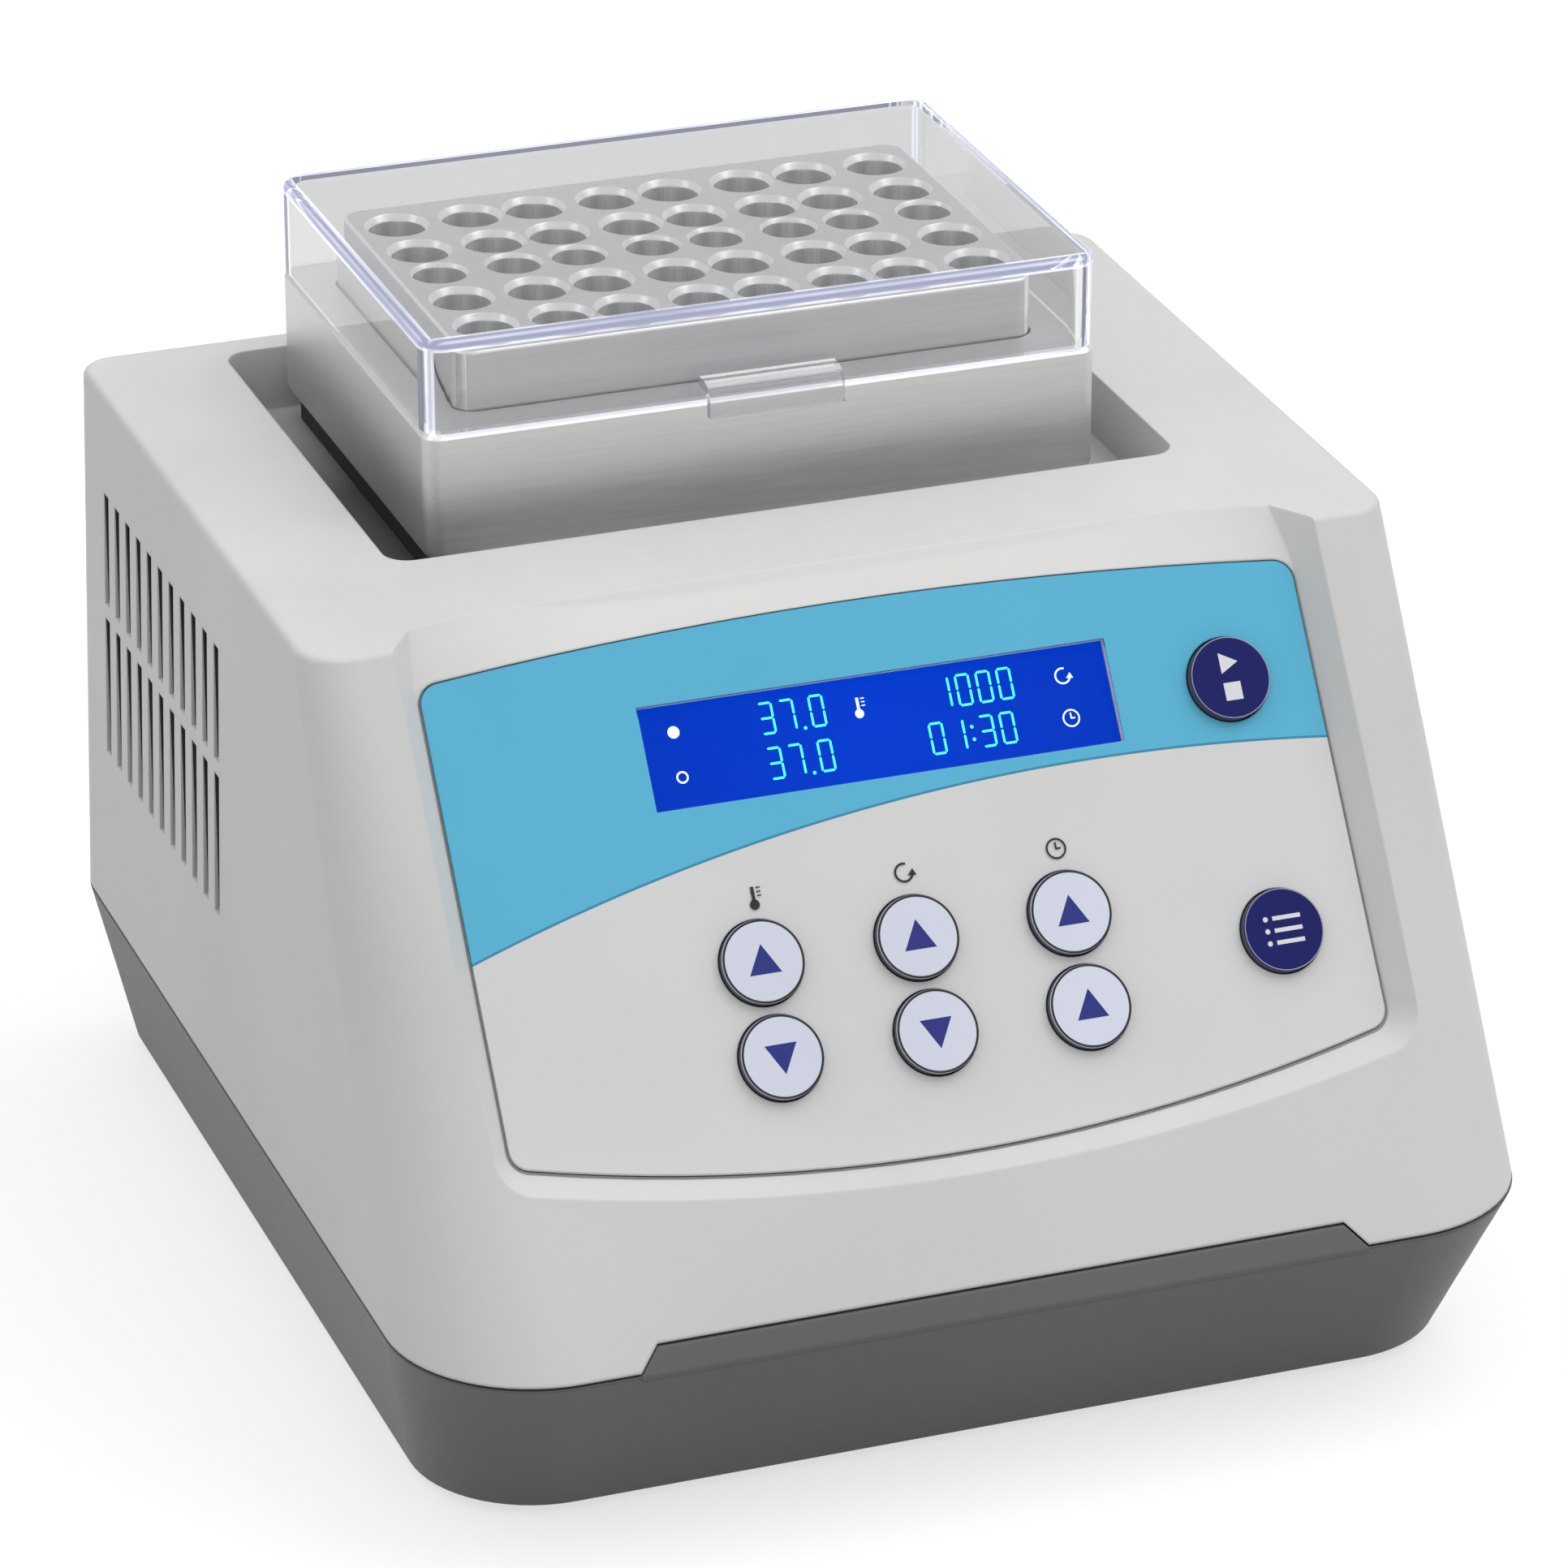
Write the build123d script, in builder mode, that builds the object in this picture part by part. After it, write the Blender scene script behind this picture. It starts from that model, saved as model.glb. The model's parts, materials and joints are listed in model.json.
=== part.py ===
"""Thermal mixer: a bench instrument that heats and orbits a block of sample tubes.

Millimetres, +Z up, front of the instrument towards -Y, origin on the table under the middle of the
body. A dark base tray and a pale moulded shell form the case. A platform rides on an eccentric
shaft in the middle and on four idler posts, and carries the heated block, the tube block and a
clear lid. The sloped front panel holds the display and eight keys.
"""

import os
from math import atan, copysign, cos, sin, tan

from build123d import *

os.makedirs("parts", exist_ok=True)

# ---------------------------------------------------------------- driving dimensions
# case
body_width = 220.0            # at the seam between base and shell
top_height = 148.0            # top plate above the table
front_run = 79.0              # run of the sloped front, from the seam to the top plate
front_band = 38.5             # top plate in front of the tray
tray_length = 111.0
back_band = 7.5               # top plate behind the tray
back_run = 6.0                # run of the rear wall
seam_height = 36.0
seam_gap = 0.5
wall = 3.0
side_run = 3.0                # each side wall leans in by this
shell_front_radius = 28.0     # plan corners at the seam
shell_back_radius = 14.0
top_front_radius = 9.0
top_back_radius = 7.0
top_edge_radius = 1.6
foot_height = 2.0
base_side_run = 8.0           # the base narrows towards the table by these
base_front_run = 18.0
base_back_run = 4.0
base_bottom_front_radius = 24.0
base_bottom_back_radius = 12.0
tongue_half_width = 67.0      # raised stretch of the seam at the front
tongue_rise = 4.0

# tray in the top plate, where the block moves
tray_half_width = 79.0
tray_corner_radius = 5.0
tray_depth = 13.0
tray_wall = 2.5
neck_width = 96.0             # neck of the insulating plinth, through the tray floor
neck_depth = 56.0
neck_gap = 4.0

# front panel
recess_depth = 5.0
recess_bevel = 4.1            # run of the bevelled walls over the recess depth
recess_rim = 0.45             # dark gap round the overlay
brow_rim = 0.15               # from the overlay to where the brow starts, over that gap
groove_depth = 0.9            # the gap goes on into the shell, and a little under the overlay
groove_lip = 0.15
panel_half_width = 86.0
panel_half_height = 44.6
panel_top_drop = 8.4          # overlay's top corners below the top plate
panel_top_rise = 4.5          # rise of its arched top edge
panel_bottom_drop = 10.5      # fall of its arched bottom edge
panel_corner_radius = 4.0
overlay_thickness = 0.5
brow_corner_run = 8.0         # how far back the recess breaks through the top plate
brow_middle_run = 18.0
window_width = 92.0
window_height = 19.6
window_up = 25.4              # centre of the display above the panel's middle
window_thickness = 1.4
display_sink = 0.5
key_radius = 7.9
key_gap = 0.3
key_height = 1.5              # proud of the overlay
key_travel = 0.5
key_pitch_x = 30.2
key_middle_x = -2.0
key_row_upper = -14.7         # rows of keys, from the panel's middle
key_row_lower = -32.5
side_key_x = 68.7
start_key_up = 24.1
program_key_up = -24.3

# tube block, heated block, plinth and lid
block_width = 135.0
block_depth = 95.0
block_back_gap = 3.0          # between the block and the tray's rear wall, at rest
block_bottom = 141.0
block_top = 166.5
block_corner_radius = 3.5
block_bottom_edge = 1.5
block_chamfer = 1.2
pocket_floor = 5.0
pocket_gap = 0.5
tube_block_width = 116.5
tube_block_depth = 74.5
tube_block_top = 178.4
tube_block_radius = 4.0
well_radius = 5.5
well_rim = 0.9                # countersink beyond the bore
well_straight = 15.0
well_depth = 28.5
well_tip_radius = 2.2
small_well_radius = 5.1
small_well_rim = 0.6
column_gap_middle = 13.1      # between the pairs of columns, and within a pair
column_gap_pair = 15.0
row_places = (26.8, 12.0, -0.5, -14.6, -29.2)
lid_height = 18.6
lid_wall = 2.2
lid_top = 2.4
lid_corner_radius = 4.5
lid_edge_radius = 1.4
lid_gap = 0.1
tab_width = 27.0
tab_reach = 6.2
tab_rise = 4.8
tab_drop = 6.4
tab_thickness = 1.8
plinth_inset = 2.0
plinth_gap = 0.6
heater_thickness = 0.8
heater_inset = 12.0

# orbital drive
orbit = 1.5                   # crank throw
chassis_bottom = 21.0
chassis_thickness = 3.0
chassis_width = 186.0
chassis_depth = 196.0
shaft_radius = 6.0
pin_radius = 5.0
running_gap = 0.03
hub_radius = 19.0
hub_height = 36.0
hub_flange_radius = 30.0
hub_flange_thickness = 5.0
bearing_width = 8.0
bearing_radius = 14.0
pulley_radius = 24.0
pulley_width = 10.0
pulley_gap = 4.0              # above the hub
pulley_flange = 1.4
belt_thickness = 1.6
belt_gap = 0.3
counterweight_radius = 26.0
counterweight_thickness = 12.0
platform_thickness = 4.0
platform_drop = 9.0           # plate under the tray floor
platform_width = 150.0
platform_depth = 100.0
boss_radius = 18.0
boss_height = 12.0
crank_bearing_radius = 13.0
belt_reach = 72.0             # between the two pulleys
motor_radius = 21.0
motor_shaft_radius = 3.0
motor_pulley_radius = 12.0
idler_x = 64.0
idler_y = 26.0
idler_radius = 4.0
idler_pin_radius = 3.0
idler_stand_radius = 9.0
bush_radius = 6.5

# rear and side
vent_width = 3.2
vent_pitch = 7.7
vent_count = 11
vent_middle_y = 54.5
upper_vent_z = (104.0, 127.5)
lower_vent_z = (72.0, 101.0)
fan_size = 50.0
fan_corner = 60.0             # from the case's side to the middle of the fan
fan_z = 76.0
fan_thickness = 15.0
fan_hub_radius = 10.0
fan_blade_radius = 22.0
fan_blades = 7
inlet_corner = 44.0
inlet_z = 70.0
inlet_width = 27.6
inlet_height = 20.4
inlet_depth = 22.0
switch_z = 104.0
switch_width = 21.0
switch_height = 13.0
panel_gap = 0.3               # round pieces let into the case
board_thickness = 1.6
screw_radius = 2.0
screw_head_radius = 3.7
screw_head_height = 2.4

# ---------------------------------------------------------------- derived places and planes
body_depth = front_run + front_band + tray_length + back_band + back_run
top_front_y = -body_depth / 2 + front_run
top_back_y = body_depth / 2 - back_run
top_half_width = body_width / 2 - side_run
base_bottom_front_y = -body_depth / 2 + base_front_run
base_bottom_back_y = body_depth / 2 - base_back_run
base_bottom_half_width = body_width / 2 - base_side_run
tray_front_y = top_front_y + front_band
tray_back_y = tray_front_y + tray_length
tray_middle_y = (tray_front_y + tray_back_y) / 2
tray_floor_z = top_height - tray_depth
brow_corner_y = top_front_y + brow_corner_run
brow_middle_y = top_front_y + brow_middle_run
block_middle_y = tray_back_y - block_back_gap - block_depth / 2
motor_middle_y = block_middle_y - belt_reach
lean = atan(front_run / (top_height - seam_height))
back_lean = atan(back_run / (top_height - seam_height))
chassis_top = chassis_bottom + chassis_thickness
platform_top = tray_floor_z - tray_wall - platform_drop + platform_thickness
platform_bottom = platform_top - platform_thickness
pulley_bottom = chassis_top + hub_height + pulley_gap
pin_bottom = platform_bottom - boss_height
lid_bottom = block_top + lid_gap
lid_front_y = block_middle_y - block_depth / 2


def front_y(z):
    """Y of the sloped front face at height z."""
    return top_front_y - (top_height - z) * tan(lean)


def back_y(z):
    """Y of the rear face at height z."""
    return top_back_y + (top_height - z) * tan(back_lean)


panel_corner_z = top_height - panel_top_drop
panel_middle_z = panel_corner_z - panel_half_height * cos(lean)
panel_plane = Plane(
    origin=(0, front_y(panel_middle_z) + recess_depth / cos(lean), panel_middle_z),
    x_dir=(1, 0, 0),
    z_dir=(0, -cos(lean), sin(lean)),
)


def rear_plane(x, z):
    """Plane on the rear face, its own x running towards -X and its z outwards."""
    return Plane(origin=(x, back_y(z), z), x_dir=(-1, 0, 0), z_dir=(0, cos(back_lean), sin(back_lean)))


def write(part, name):
    part.part.label = name
    export_step(part.part, "parts/" + name + ".step")


def plan_outline(z, half_width, y_front, y_back, r_front, r_back):
    """Rounded plan of the case at height z, with its own radii at front and back."""
    with BuildSketch(Plane.XY.offset(z)) as outline:
        with Locations((0, (y_front + y_back) / 2)):
            Rectangle(2 * half_width, y_back - y_front)
        fillet(outline.vertices().group_by(Axis.Y)[0], r_front)
        fillet(outline.vertices().group_by(Axis.Y)[-1], r_back)
    return outline.sketch


def case_outline(z, inset):
    """Plan of the shell at height z, inset by a wall."""
    share = (z - seam_height) / (top_height - seam_height)
    front_radius = shell_front_radius + (top_front_radius - shell_front_radius) * share
    back_radius = shell_back_radius + (top_back_radius - shell_back_radius) * share
    return plan_outline(
        z,
        body_width / 2 + (top_half_width - body_width / 2) * share - inset,
        front_y(z) + inset / cos(lean),
        back_y(z) - inset,
        max(front_radius - inset, 2.0),
        max(back_radius - inset, 2.0),
    )


def base_outline(z, inset):
    """Plan of the base tray at height z: it narrows towards the table."""
    share = (z - foot_height) / (seam_height - foot_height)
    return plan_outline(
        z,
        base_bottom_half_width + (body_width / 2 - base_bottom_half_width) * share - inset,
        base_bottom_front_y + (-body_depth / 2 - base_bottom_front_y) * share + inset,
        base_bottom_back_y + (body_depth / 2 - base_bottom_back_y) * share - inset,
        base_bottom_front_radius + (shell_front_radius - base_bottom_front_radius) * share - inset,
        base_bottom_back_radius + (shell_back_radius - base_bottom_back_radius) * share - inset,
    )


def panel_outline(plane, grow):
    """Barrel-shaped outline of the control panel, grown all round."""
    w = panel_half_width + grow
    h = panel_half_height + grow
    with BuildSketch(plane) as outline:
        with BuildLine():
            ThreePointArc((-w, h), (0, h + panel_top_rise), (w, h))
            Line((w, h), (w, -h))
            ThreePointArc((w, -h), (0, -h - panel_bottom_drop), (-w, -h))
            Line((-w, -h), (-w, h))
        make_face()
        fillet(outline.vertices(), panel_corner_radius + max(grow, 0))
    return outline.sketch


def brow_outline(x):
    """Section of the cut above the panel: from the panel's plane up to the top plate, further back in
    the middle than at the sides."""
    sag = (x / brow_x) ** 2
    edge = panel_half_height + brow_rim + panel_top_rise * (1 - sag)
    start = panel_plane.from_local_coords((0, edge - 2 * panel_corner_radius, 0))
    bend = panel_plane.from_local_coords((0, edge, 0))
    high_y = brow_middle_y + (brow_corner_y - brow_middle_y) * sag
    front = top_front_y - pocket_reach / cos(lean) - body_depth / 4
    over = top_height + pocket_reach
    with BuildSketch(Plane.YZ.offset(x)) as outline:
        with BuildLine():
            Polyline((start.Y, start.Z), (bend.Y, bend.Z), (high_y, top_height), (high_y, over), (front, over),
                     (front, start.Z), close=True)
        make_face()
    return outline.sketch


fan_x = -(body_width / 2 - fan_corner)
inlet_x = body_width / 2 - inlet_corner

# places of the keys on the panel
key_places = {
    "start_stop_key": (side_key_x, start_key_up),
    "program_key": (side_key_x, program_key_up),
    "temperature_up_key": (key_middle_x - key_pitch_x, key_row_upper),
    "temperature_down_key": (key_middle_x - key_pitch_x, key_row_lower),
    "speed_up_key": (key_middle_x, key_row_upper),
    "speed_down_key": (key_middle_x, key_row_lower),
    "time_up_key": (key_middle_x + key_pitch_x, key_row_upper),
    "time_down_key": (key_middle_x + key_pitch_x, key_row_lower),
}

# places of the case screws, clear of the tapered corners
case_boss_radius = 6.0
case_boss_rise = 22.0
case_rib_width = 3.0
case_rib_end = body_width / 2 - 2.0
case_screw_side = 20.0        # from the case's side, front and back at the seam
case_screw_front = 37.0
case_screw_back = 21.0
case_screw_x = body_width / 2 - case_screw_side
case_screw_rows = (-body_depth / 2 + case_screw_front, body_depth / 2 - case_screw_back)
case_screw_places = [(x, y) for x in (-case_screw_x, case_screw_x) for y in case_screw_rows]

# chassis screws: two in front of the electronics, two beside the platform
chassis_screw_side = 26.0
chassis_screw_front = 35.0
chassis_front_x = 30.0
chassis_side_x = body_width / 2 - chassis_screw_side
chassis_screw_places = [(x, -body_depth / 2 + chassis_screw_front) for x in (-chassis_front_x, chassis_front_x)]
chassis_screw_places += [(x, block_middle_y) for x in (-chassis_side_x, chassis_side_x)]

# ---------------------------------------------------------------- top shell
# the hollow: the front wall is thick behind the recess, and the ceiling steps down under the brow
brow_ceiling_z = panel_corner_z
with BuildPart() as shell_hollow:
    loft([case_outline(seam_height - 1.0, wall), case_outline(top_height - wall, wall)], ruled=True)
    with BuildSketch(panel_plane.offset(-wall)):
        Rectangle(2 * body_width, 2 * body_depth)
    extrude(amount=body_depth, mode=Mode.SUBTRACT)
    with BuildSketch(Plane.XY.offset(brow_ceiling_z)):
        with Locations((0, top_front_y)):
            Rectangle(body_width, 2 * (brow_middle_y + 2 * wall - top_front_y))
    extrude(amount=top_height, mode=Mode.SUBTRACT)

# the cut of the recess: a drafted pocket in the front and a brow through the top plate, whose ends
# lie in the planes of the pocket's bevelled sides
pocket_reach = 8.0
pocket_draft = recess_bevel / recess_depth
brow_x = panel_half_width + recess_rim
brow_end_x = brow_x + pocket_draft * pocket_reach + 1.0
pocket_face = panel_outline(panel_plane, recess_rim)
pocket_mouth = panel_outline(panel_plane.offset(pocket_reach), recess_rim + pocket_draft * pocket_reach)
with BuildPart() as brow_cut:
    loft([brow_outline(-brow_end_x), brow_outline(0), brow_outline(brow_end_x)])
    with BuildSketch(Plane(panel_plane.origin, x_dir=(1, 0, 0), z_dir=panel_plane.y_dir)):
        with BuildLine():
            Polyline(
                (-brow_x + pocket_draft * recess_depth, recess_depth),
                (brow_x - pocket_draft * recess_depth, recess_depth),
                (brow_x + pocket_draft * pocket_reach, -pocket_reach),
                (-brow_x - pocket_draft * pocket_reach, -pocket_reach),
                close=True,
            )
        make_face()
    extrude(amount=2 * panel_half_height, mode=Mode.INTERSECT)
with BuildPart() as recess_cut:
    loft([pocket_face, pocket_mouth], ruled=True)
    add(brow_cut.part)

with BuildPart() as panel_groove:
    extrude(panel_outline(panel_plane, recess_rim), amount=-groove_depth)
    extrude(panel_outline(panel_plane, -groove_lip), amount=-groove_depth, mode=Mode.SUBTRACT)

with BuildPart() as top_shell:
    loft([case_outline(seam_height + seam_gap, 0), case_outline(top_height, 0)], ruled=True)
    fillet(top_shell.faces().sort_by(Axis.Z)[-1].edges(), top_edge_radius)
    add(shell_hollow.part, mode=Mode.SUBTRACT)
    # tray walls and floor
    with BuildSketch(Plane.XY.offset(tray_floor_z - tray_wall)):
        with Locations((0, tray_middle_y)):
            RectangleRounded(
                2 * (tray_half_width + tray_wall),
                tray_length + 2 * tray_wall,
                tray_corner_radius + tray_wall,
            )
    extrude(amount=tray_depth + tray_wall - top_edge_radius)
    with BuildSketch(Plane.XY.offset(tray_floor_z)):
        with Locations((0, tray_middle_y)):
            RectangleRounded(2 * tray_half_width, tray_length, tray_corner_radius)
    extrude(amount=tray_depth + 1.0, mode=Mode.SUBTRACT)
    with BuildSketch(Plane.XY.offset(tray_floor_z - tray_wall)):
        with Locations((0, block_middle_y)):
            RectangleRounded(neck_width + 2 * neck_gap, neck_depth + 2 * neck_gap, 6.0)
    extrude(amount=2 * tray_wall, mode=Mode.SUBTRACT)
    # bosses for the case screws, tied to the side walls by ribs
    with BuildSketch(Plane.XY.offset(seam_height + seam_gap)):
        with Locations(case_screw_places):
            Circle(case_boss_radius)
        for x, y in case_screw_places:
            with Locations(((x + copysign(case_rib_end, x)) / 2, y)):
                Rectangle(case_rib_end - abs(x), case_rib_width)
    extrude(amount=case_boss_rise)
    with BuildSketch(Plane.XY.offset(seam_height)):
        with Locations(case_screw_places):
            Circle(screw_radius + 0.1)
    extrude(amount=case_boss_rise - 3.0, mode=Mode.SUBTRACT)
    # recess, with a shadow groove round the panel, keys and display
    add(recess_cut.part, mode=Mode.SUBTRACT)
    add(panel_groove.part, mode=Mode.SUBTRACT)
    with BuildSketch(panel_plane.offset(-2 * wall)):
        with Locations((0, window_up)):
            Rectangle(window_width, window_height)
        with Locations(list(key_places.values())):
            Circle(key_radius + key_gap)
    extrude(amount=3 * wall, mode=Mode.SUBTRACT)
    # notch over the raised stretch of the base
    with BuildSketch(Plane.XZ.offset(body_depth / 2 + 5.0)):
        with BuildLine():
            Polyline(
                (-tongue_half_width - tongue_rise, seam_height - 2.0),
                (-tongue_half_width - tongue_rise, seam_height + seam_gap),
                (-tongue_half_width, seam_height + tongue_rise + seam_gap),
                (tongue_half_width, seam_height + tongue_rise + seam_gap),
                (tongue_half_width + tongue_rise, seam_height + seam_gap),
                (tongue_half_width + tongue_rise, seam_height - 2.0),
                close=True,
            )
        make_face()
    extrude(amount=-body_depth / 4, mode=Mode.SUBTRACT)
    # side vents
    for side in (-1, 1):
        for low, high in (upper_vent_z, lower_vent_z):
            with BuildSketch(Plane.YZ.offset(side * (body_width / 2 - 5.0))):
                with Locations((vent_middle_y, (low + high) / 2)):
                    with GridLocations(vent_pitch, 1.0, vent_count, 1):
                        Rectangle(vent_width, high - low)
            extrude(amount=10.0, both=True, mode=Mode.SUBTRACT)
    # rear wall: fan grille, power inlet and switch
    with BuildSketch(rear_plane(fan_x, fan_z).offset(-2 * wall)):
        with GridLocations(7.0, 1.0, 7, 1):
            Rectangle(3.6, 2 * fan_blade_radius)
        Circle(fan_blade_radius - 0.5, mode=Mode.INTERSECT)
    extrude(amount=3 * wall, mode=Mode.SUBTRACT)
    with BuildSketch(rear_plane(inlet_x, inlet_z).offset(-2 * wall)):
        Rectangle(inlet_width + panel_gap, inlet_height + panel_gap)
    extrude(amount=3 * wall, mode=Mode.SUBTRACT)
    with BuildSketch(rear_plane(inlet_x, switch_z).offset(-2 * wall)):
        Rectangle(switch_width + panel_gap, switch_height + panel_gap)
    extrude(amount=3 * wall, mode=Mode.SUBTRACT)
write(top_shell, "top_shell")

# ---------------------------------------------------------------- base tray
screw_sink = 1.5 * case_boss_radius - 3.0
tongue_top = seam_height + tongue_rise
with BuildPart() as base_shell:
    loft([base_outline(foot_height, 0), base_outline(seam_height, 0)], ruled=True)
    with BuildSketch(Plane.XZ.offset(body_depth / 2)):
        with BuildLine():
            Polyline(
                (-tongue_half_width - tongue_rise, seam_height - 1.0),
                (-tongue_half_width - tongue_rise, seam_height),
                (-tongue_half_width, tongue_top),
                (tongue_half_width, tongue_top),
                (tongue_half_width + tongue_rise, seam_height),
                (tongue_half_width + tongue_rise, seam_height - 1.0),
                close=True,
            )
        make_face()
    extrude(amount=-tongue_rise * tan(lean) - 2 * wall)
    # the tongue follows the slope of the front
    with BuildSketch(panel_plane.offset(recess_depth)):
        Rectangle(2 * body_width, 2 * body_depth)
    extrude(amount=body_depth, mode=Mode.SUBTRACT)
    loft([base_outline(foot_height + wall, wall), base_outline(seam_height, wall)], ruled=True,
         mode=Mode.SUBTRACT)
    # bosses for the case screws and for the chassis plate
    with BuildSketch(Plane.XY.offset(foot_height)):
        with Locations(case_screw_places):
            Circle(case_boss_radius)
    extrude(amount=seam_height - foot_height)
    with BuildSketch(Plane.XY.offset(foot_height)):
        with Locations(chassis_screw_places):
            Circle(case_boss_radius)
    extrude(amount=chassis_bottom - foot_height)
    with BuildSketch(Plane.XY.offset(foot_height + wall)):
        with Locations(chassis_screw_places):
            Circle(screw_radius + 0.1)
    extrude(amount=chassis_bottom, mode=Mode.SUBTRACT)
    with Locations(*[Location((x, y, foot_height)) for x, y in case_screw_places]):
        Hole(screw_radius + 0.3, seam_height)
    for x, y in case_screw_places:
        with BuildSketch(Plane.XY.offset(foot_height)):
            with Locations((x, y)):
                Circle(2 * screw_radius + 0.3)
        extrude(amount=screw_sink, mode=Mode.SUBTRACT)
write(base_shell, "base_shell")

# four feet: discs against the base, each with a peg in it
foot_radius = 10.0
foot_peg_radius = 3.0
foot_x = base_bottom_half_width - 26.0
foot_front_y = base_bottom_front_y + 26.0
foot_back_y = base_bottom_back_y - 22.0
foot_places = [(x, y) for x in (-foot_x, foot_x) for y in (foot_front_y, foot_back_y)]
with BuildPart() as rubber_feet:
    with BuildSketch(Plane.XY):
        with Locations(foot_places):
            Circle(foot_radius)
    extrude(amount=foot_height)
write(rubber_feet, "rubber_feet")

with BuildPart() as case_screws:
    with BuildSketch(Plane.XY.offset(foot_height + screw_sink - screw_head_height)):
        with Locations(case_screw_places):
            Circle(screw_head_radius)
    extrude(amount=screw_head_height)
    with BuildSketch(Plane.XY.offset(foot_height + screw_sink)):
        with Locations(case_screw_places):
            Circle(screw_radius)
    extrude(amount=seam_height - foot_height - 2 * screw_sink + case_boss_rise)
write(case_screws, "case_screws")

# ---------------------------------------------------------------- control panel
with BuildPart() as control_overlay:
    add(panel_outline(panel_plane, 0))
    extrude(amount=overlay_thickness)
    with BuildSketch(panel_plane):
        with Locations((0, window_up)):
            Rectangle(window_width, window_height)
        with Locations(list(key_places.values())):
            Circle(key_radius + key_gap)
    extrude(amount=2 * overlay_thickness, mode=Mode.SUBTRACT)
write(control_overlay, "control_overlay")

window_top = overlay_thickness - display_sink
with BuildPart() as display_window:
    with BuildSketch(panel_plane.offset(window_top - window_thickness)):
        with Locations((0, window_up)):
            Rectangle(window_width - 0.4, window_height - 0.4)
    extrude(amount=window_thickness)
write(display_window, "display_window")

display_margin = 3.0
display_depth = 5.0
display_back = -wall - display_depth
with BuildPart() as display_module:
    with BuildSketch(panel_plane.offset(display_back)):
        with Locations((0, window_up)):
            Rectangle(window_width + 2 * display_margin, window_height + 2 * display_margin)
    extrude(amount=display_depth)
    with BuildSketch(panel_plane.offset(-wall)):
        with Locations((0, window_up)):
            Rectangle(window_width - 0.4, window_height - 0.4)
    extrude(amount=window_top - window_thickness + wall)
write(display_module, "display_module")

# board across the panel, held off the shell by pillars at its corners
board_width = 2 * panel_half_width - 10.0
board_height = 2 * panel_half_height - 12.0
board_top = display_back
with BuildPart() as key_board:
    with BuildSketch(panel_plane.offset(board_top - board_thickness)):
        RectangleRounded(board_width, board_height, 2.0)
    extrude(amount=board_thickness)
write(key_board, "key_board")

pillar_radius = 3.0
with BuildPart() as board_pillars:
    with BuildSketch(panel_plane.offset(board_top)):
        with GridLocations(board_width - 8.0, board_height - 8.0, 2, 2):
            Circle(pillar_radius)
    extrude(amount=-board_top - wall)
write(board_pillars, "board_pillars")

switch_size = 6.0
switch_top = board_top + 3.6
with BuildPart() as key_switches:
    with BuildSketch(panel_plane.offset(board_top)):
        with Locations(list(key_places.values())):
            Rectangle(switch_size, switch_size)
    extrude(amount=switch_top - board_top)
write(key_switches, "key_switches")

# each key is a cap on a stem: at full travel the stem just clears its switch
key_skirt = 2.4
key_stem_radius = 2.0
key_edge = 0.5
for key_name, key_place in key_places.items():
    with BuildPart() as key:
        with BuildSketch(panel_plane.offset(overlay_thickness - key_skirt)):
            with Locations(key_place):
                Circle(key_radius)
        extrude(amount=key_skirt + key_height)
        fillet(key.edges().filter_by(GeomType.CIRCLE).sort_by(Axis(panel_plane.origin, panel_plane.z_dir))[-1],
               key_edge)
        with BuildSketch(panel_plane.offset(switch_top + key_travel + 0.3)):
            with Locations(key_place):
                Circle(key_stem_radius)
        extrude(amount=overlay_thickness - key_skirt - switch_top - key_travel - 0.3)
    write(key, key_name)

# ---------------------------------------------------------------- heated block, plinth and lid
neck_bottom = platform_top
plinth_width = block_width - 2 * plinth_inset
plinth_depth = block_depth - 2 * plinth_inset
heater_width = block_width - 2 * heater_inset
heater_depth = block_depth - 2 * heater_inset
sensor_radius = 1.5
sensor_length = 30.0
sensor_z = block_bottom + pocket_floor / 2
sensor_x = 30.0
block_back_y = block_middle_y + block_depth / 2
block_screw_x = 40.0
block_screw_y = 20.0
block_screw_places = [
    (x, block_middle_y + y) for x in (-block_screw_x, block_screw_x) for y in (-block_screw_y, block_screw_y)
]
block_screw_length = block_bottom + pocket_floor - neck_bottom + platform_thickness - 3.0

with BuildPart() as insulating_plinth:
    with BuildSketch(Plane.XY.offset(tray_floor_z + plinth_gap)):
        with Locations((0, block_middle_y)):
            RectangleRounded(plinth_width, plinth_depth, block_corner_radius)
    extrude(amount=block_bottom - tray_floor_z - plinth_gap)
    with BuildSketch(Plane.XY.offset(neck_bottom)):
        with Locations((0, block_middle_y)):
            RectangleRounded(neck_width, neck_depth, 4.0)
    extrude(amount=tray_floor_z + plinth_gap - neck_bottom)
    with BuildSketch(Plane.XY.offset(block_bottom - heater_thickness)):
        with Locations((0, block_middle_y)):
            Rectangle(heater_width + 0.4, heater_depth + 0.4)
    extrude(amount=heater_thickness, mode=Mode.SUBTRACT)
    with BuildSketch(Plane.XY.offset(neck_bottom)):
        with Locations(block_screw_places):
            Circle(screw_radius + 0.2)
    extrude(amount=block_bottom, mode=Mode.SUBTRACT)
write(insulating_plinth, "insulating_plinth")

with BuildPart() as heater_mat:
    with BuildSketch(Plane.XY.offset(block_bottom - heater_thickness)):
        with Locations((0, block_middle_y)):
            Rectangle(heater_width, heater_depth)
        with Locations(block_screw_places):
            Circle(2 * screw_radius, mode=Mode.SUBTRACT)
    extrude(amount=heater_thickness)
write(heater_mat, "heater_mat")

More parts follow.
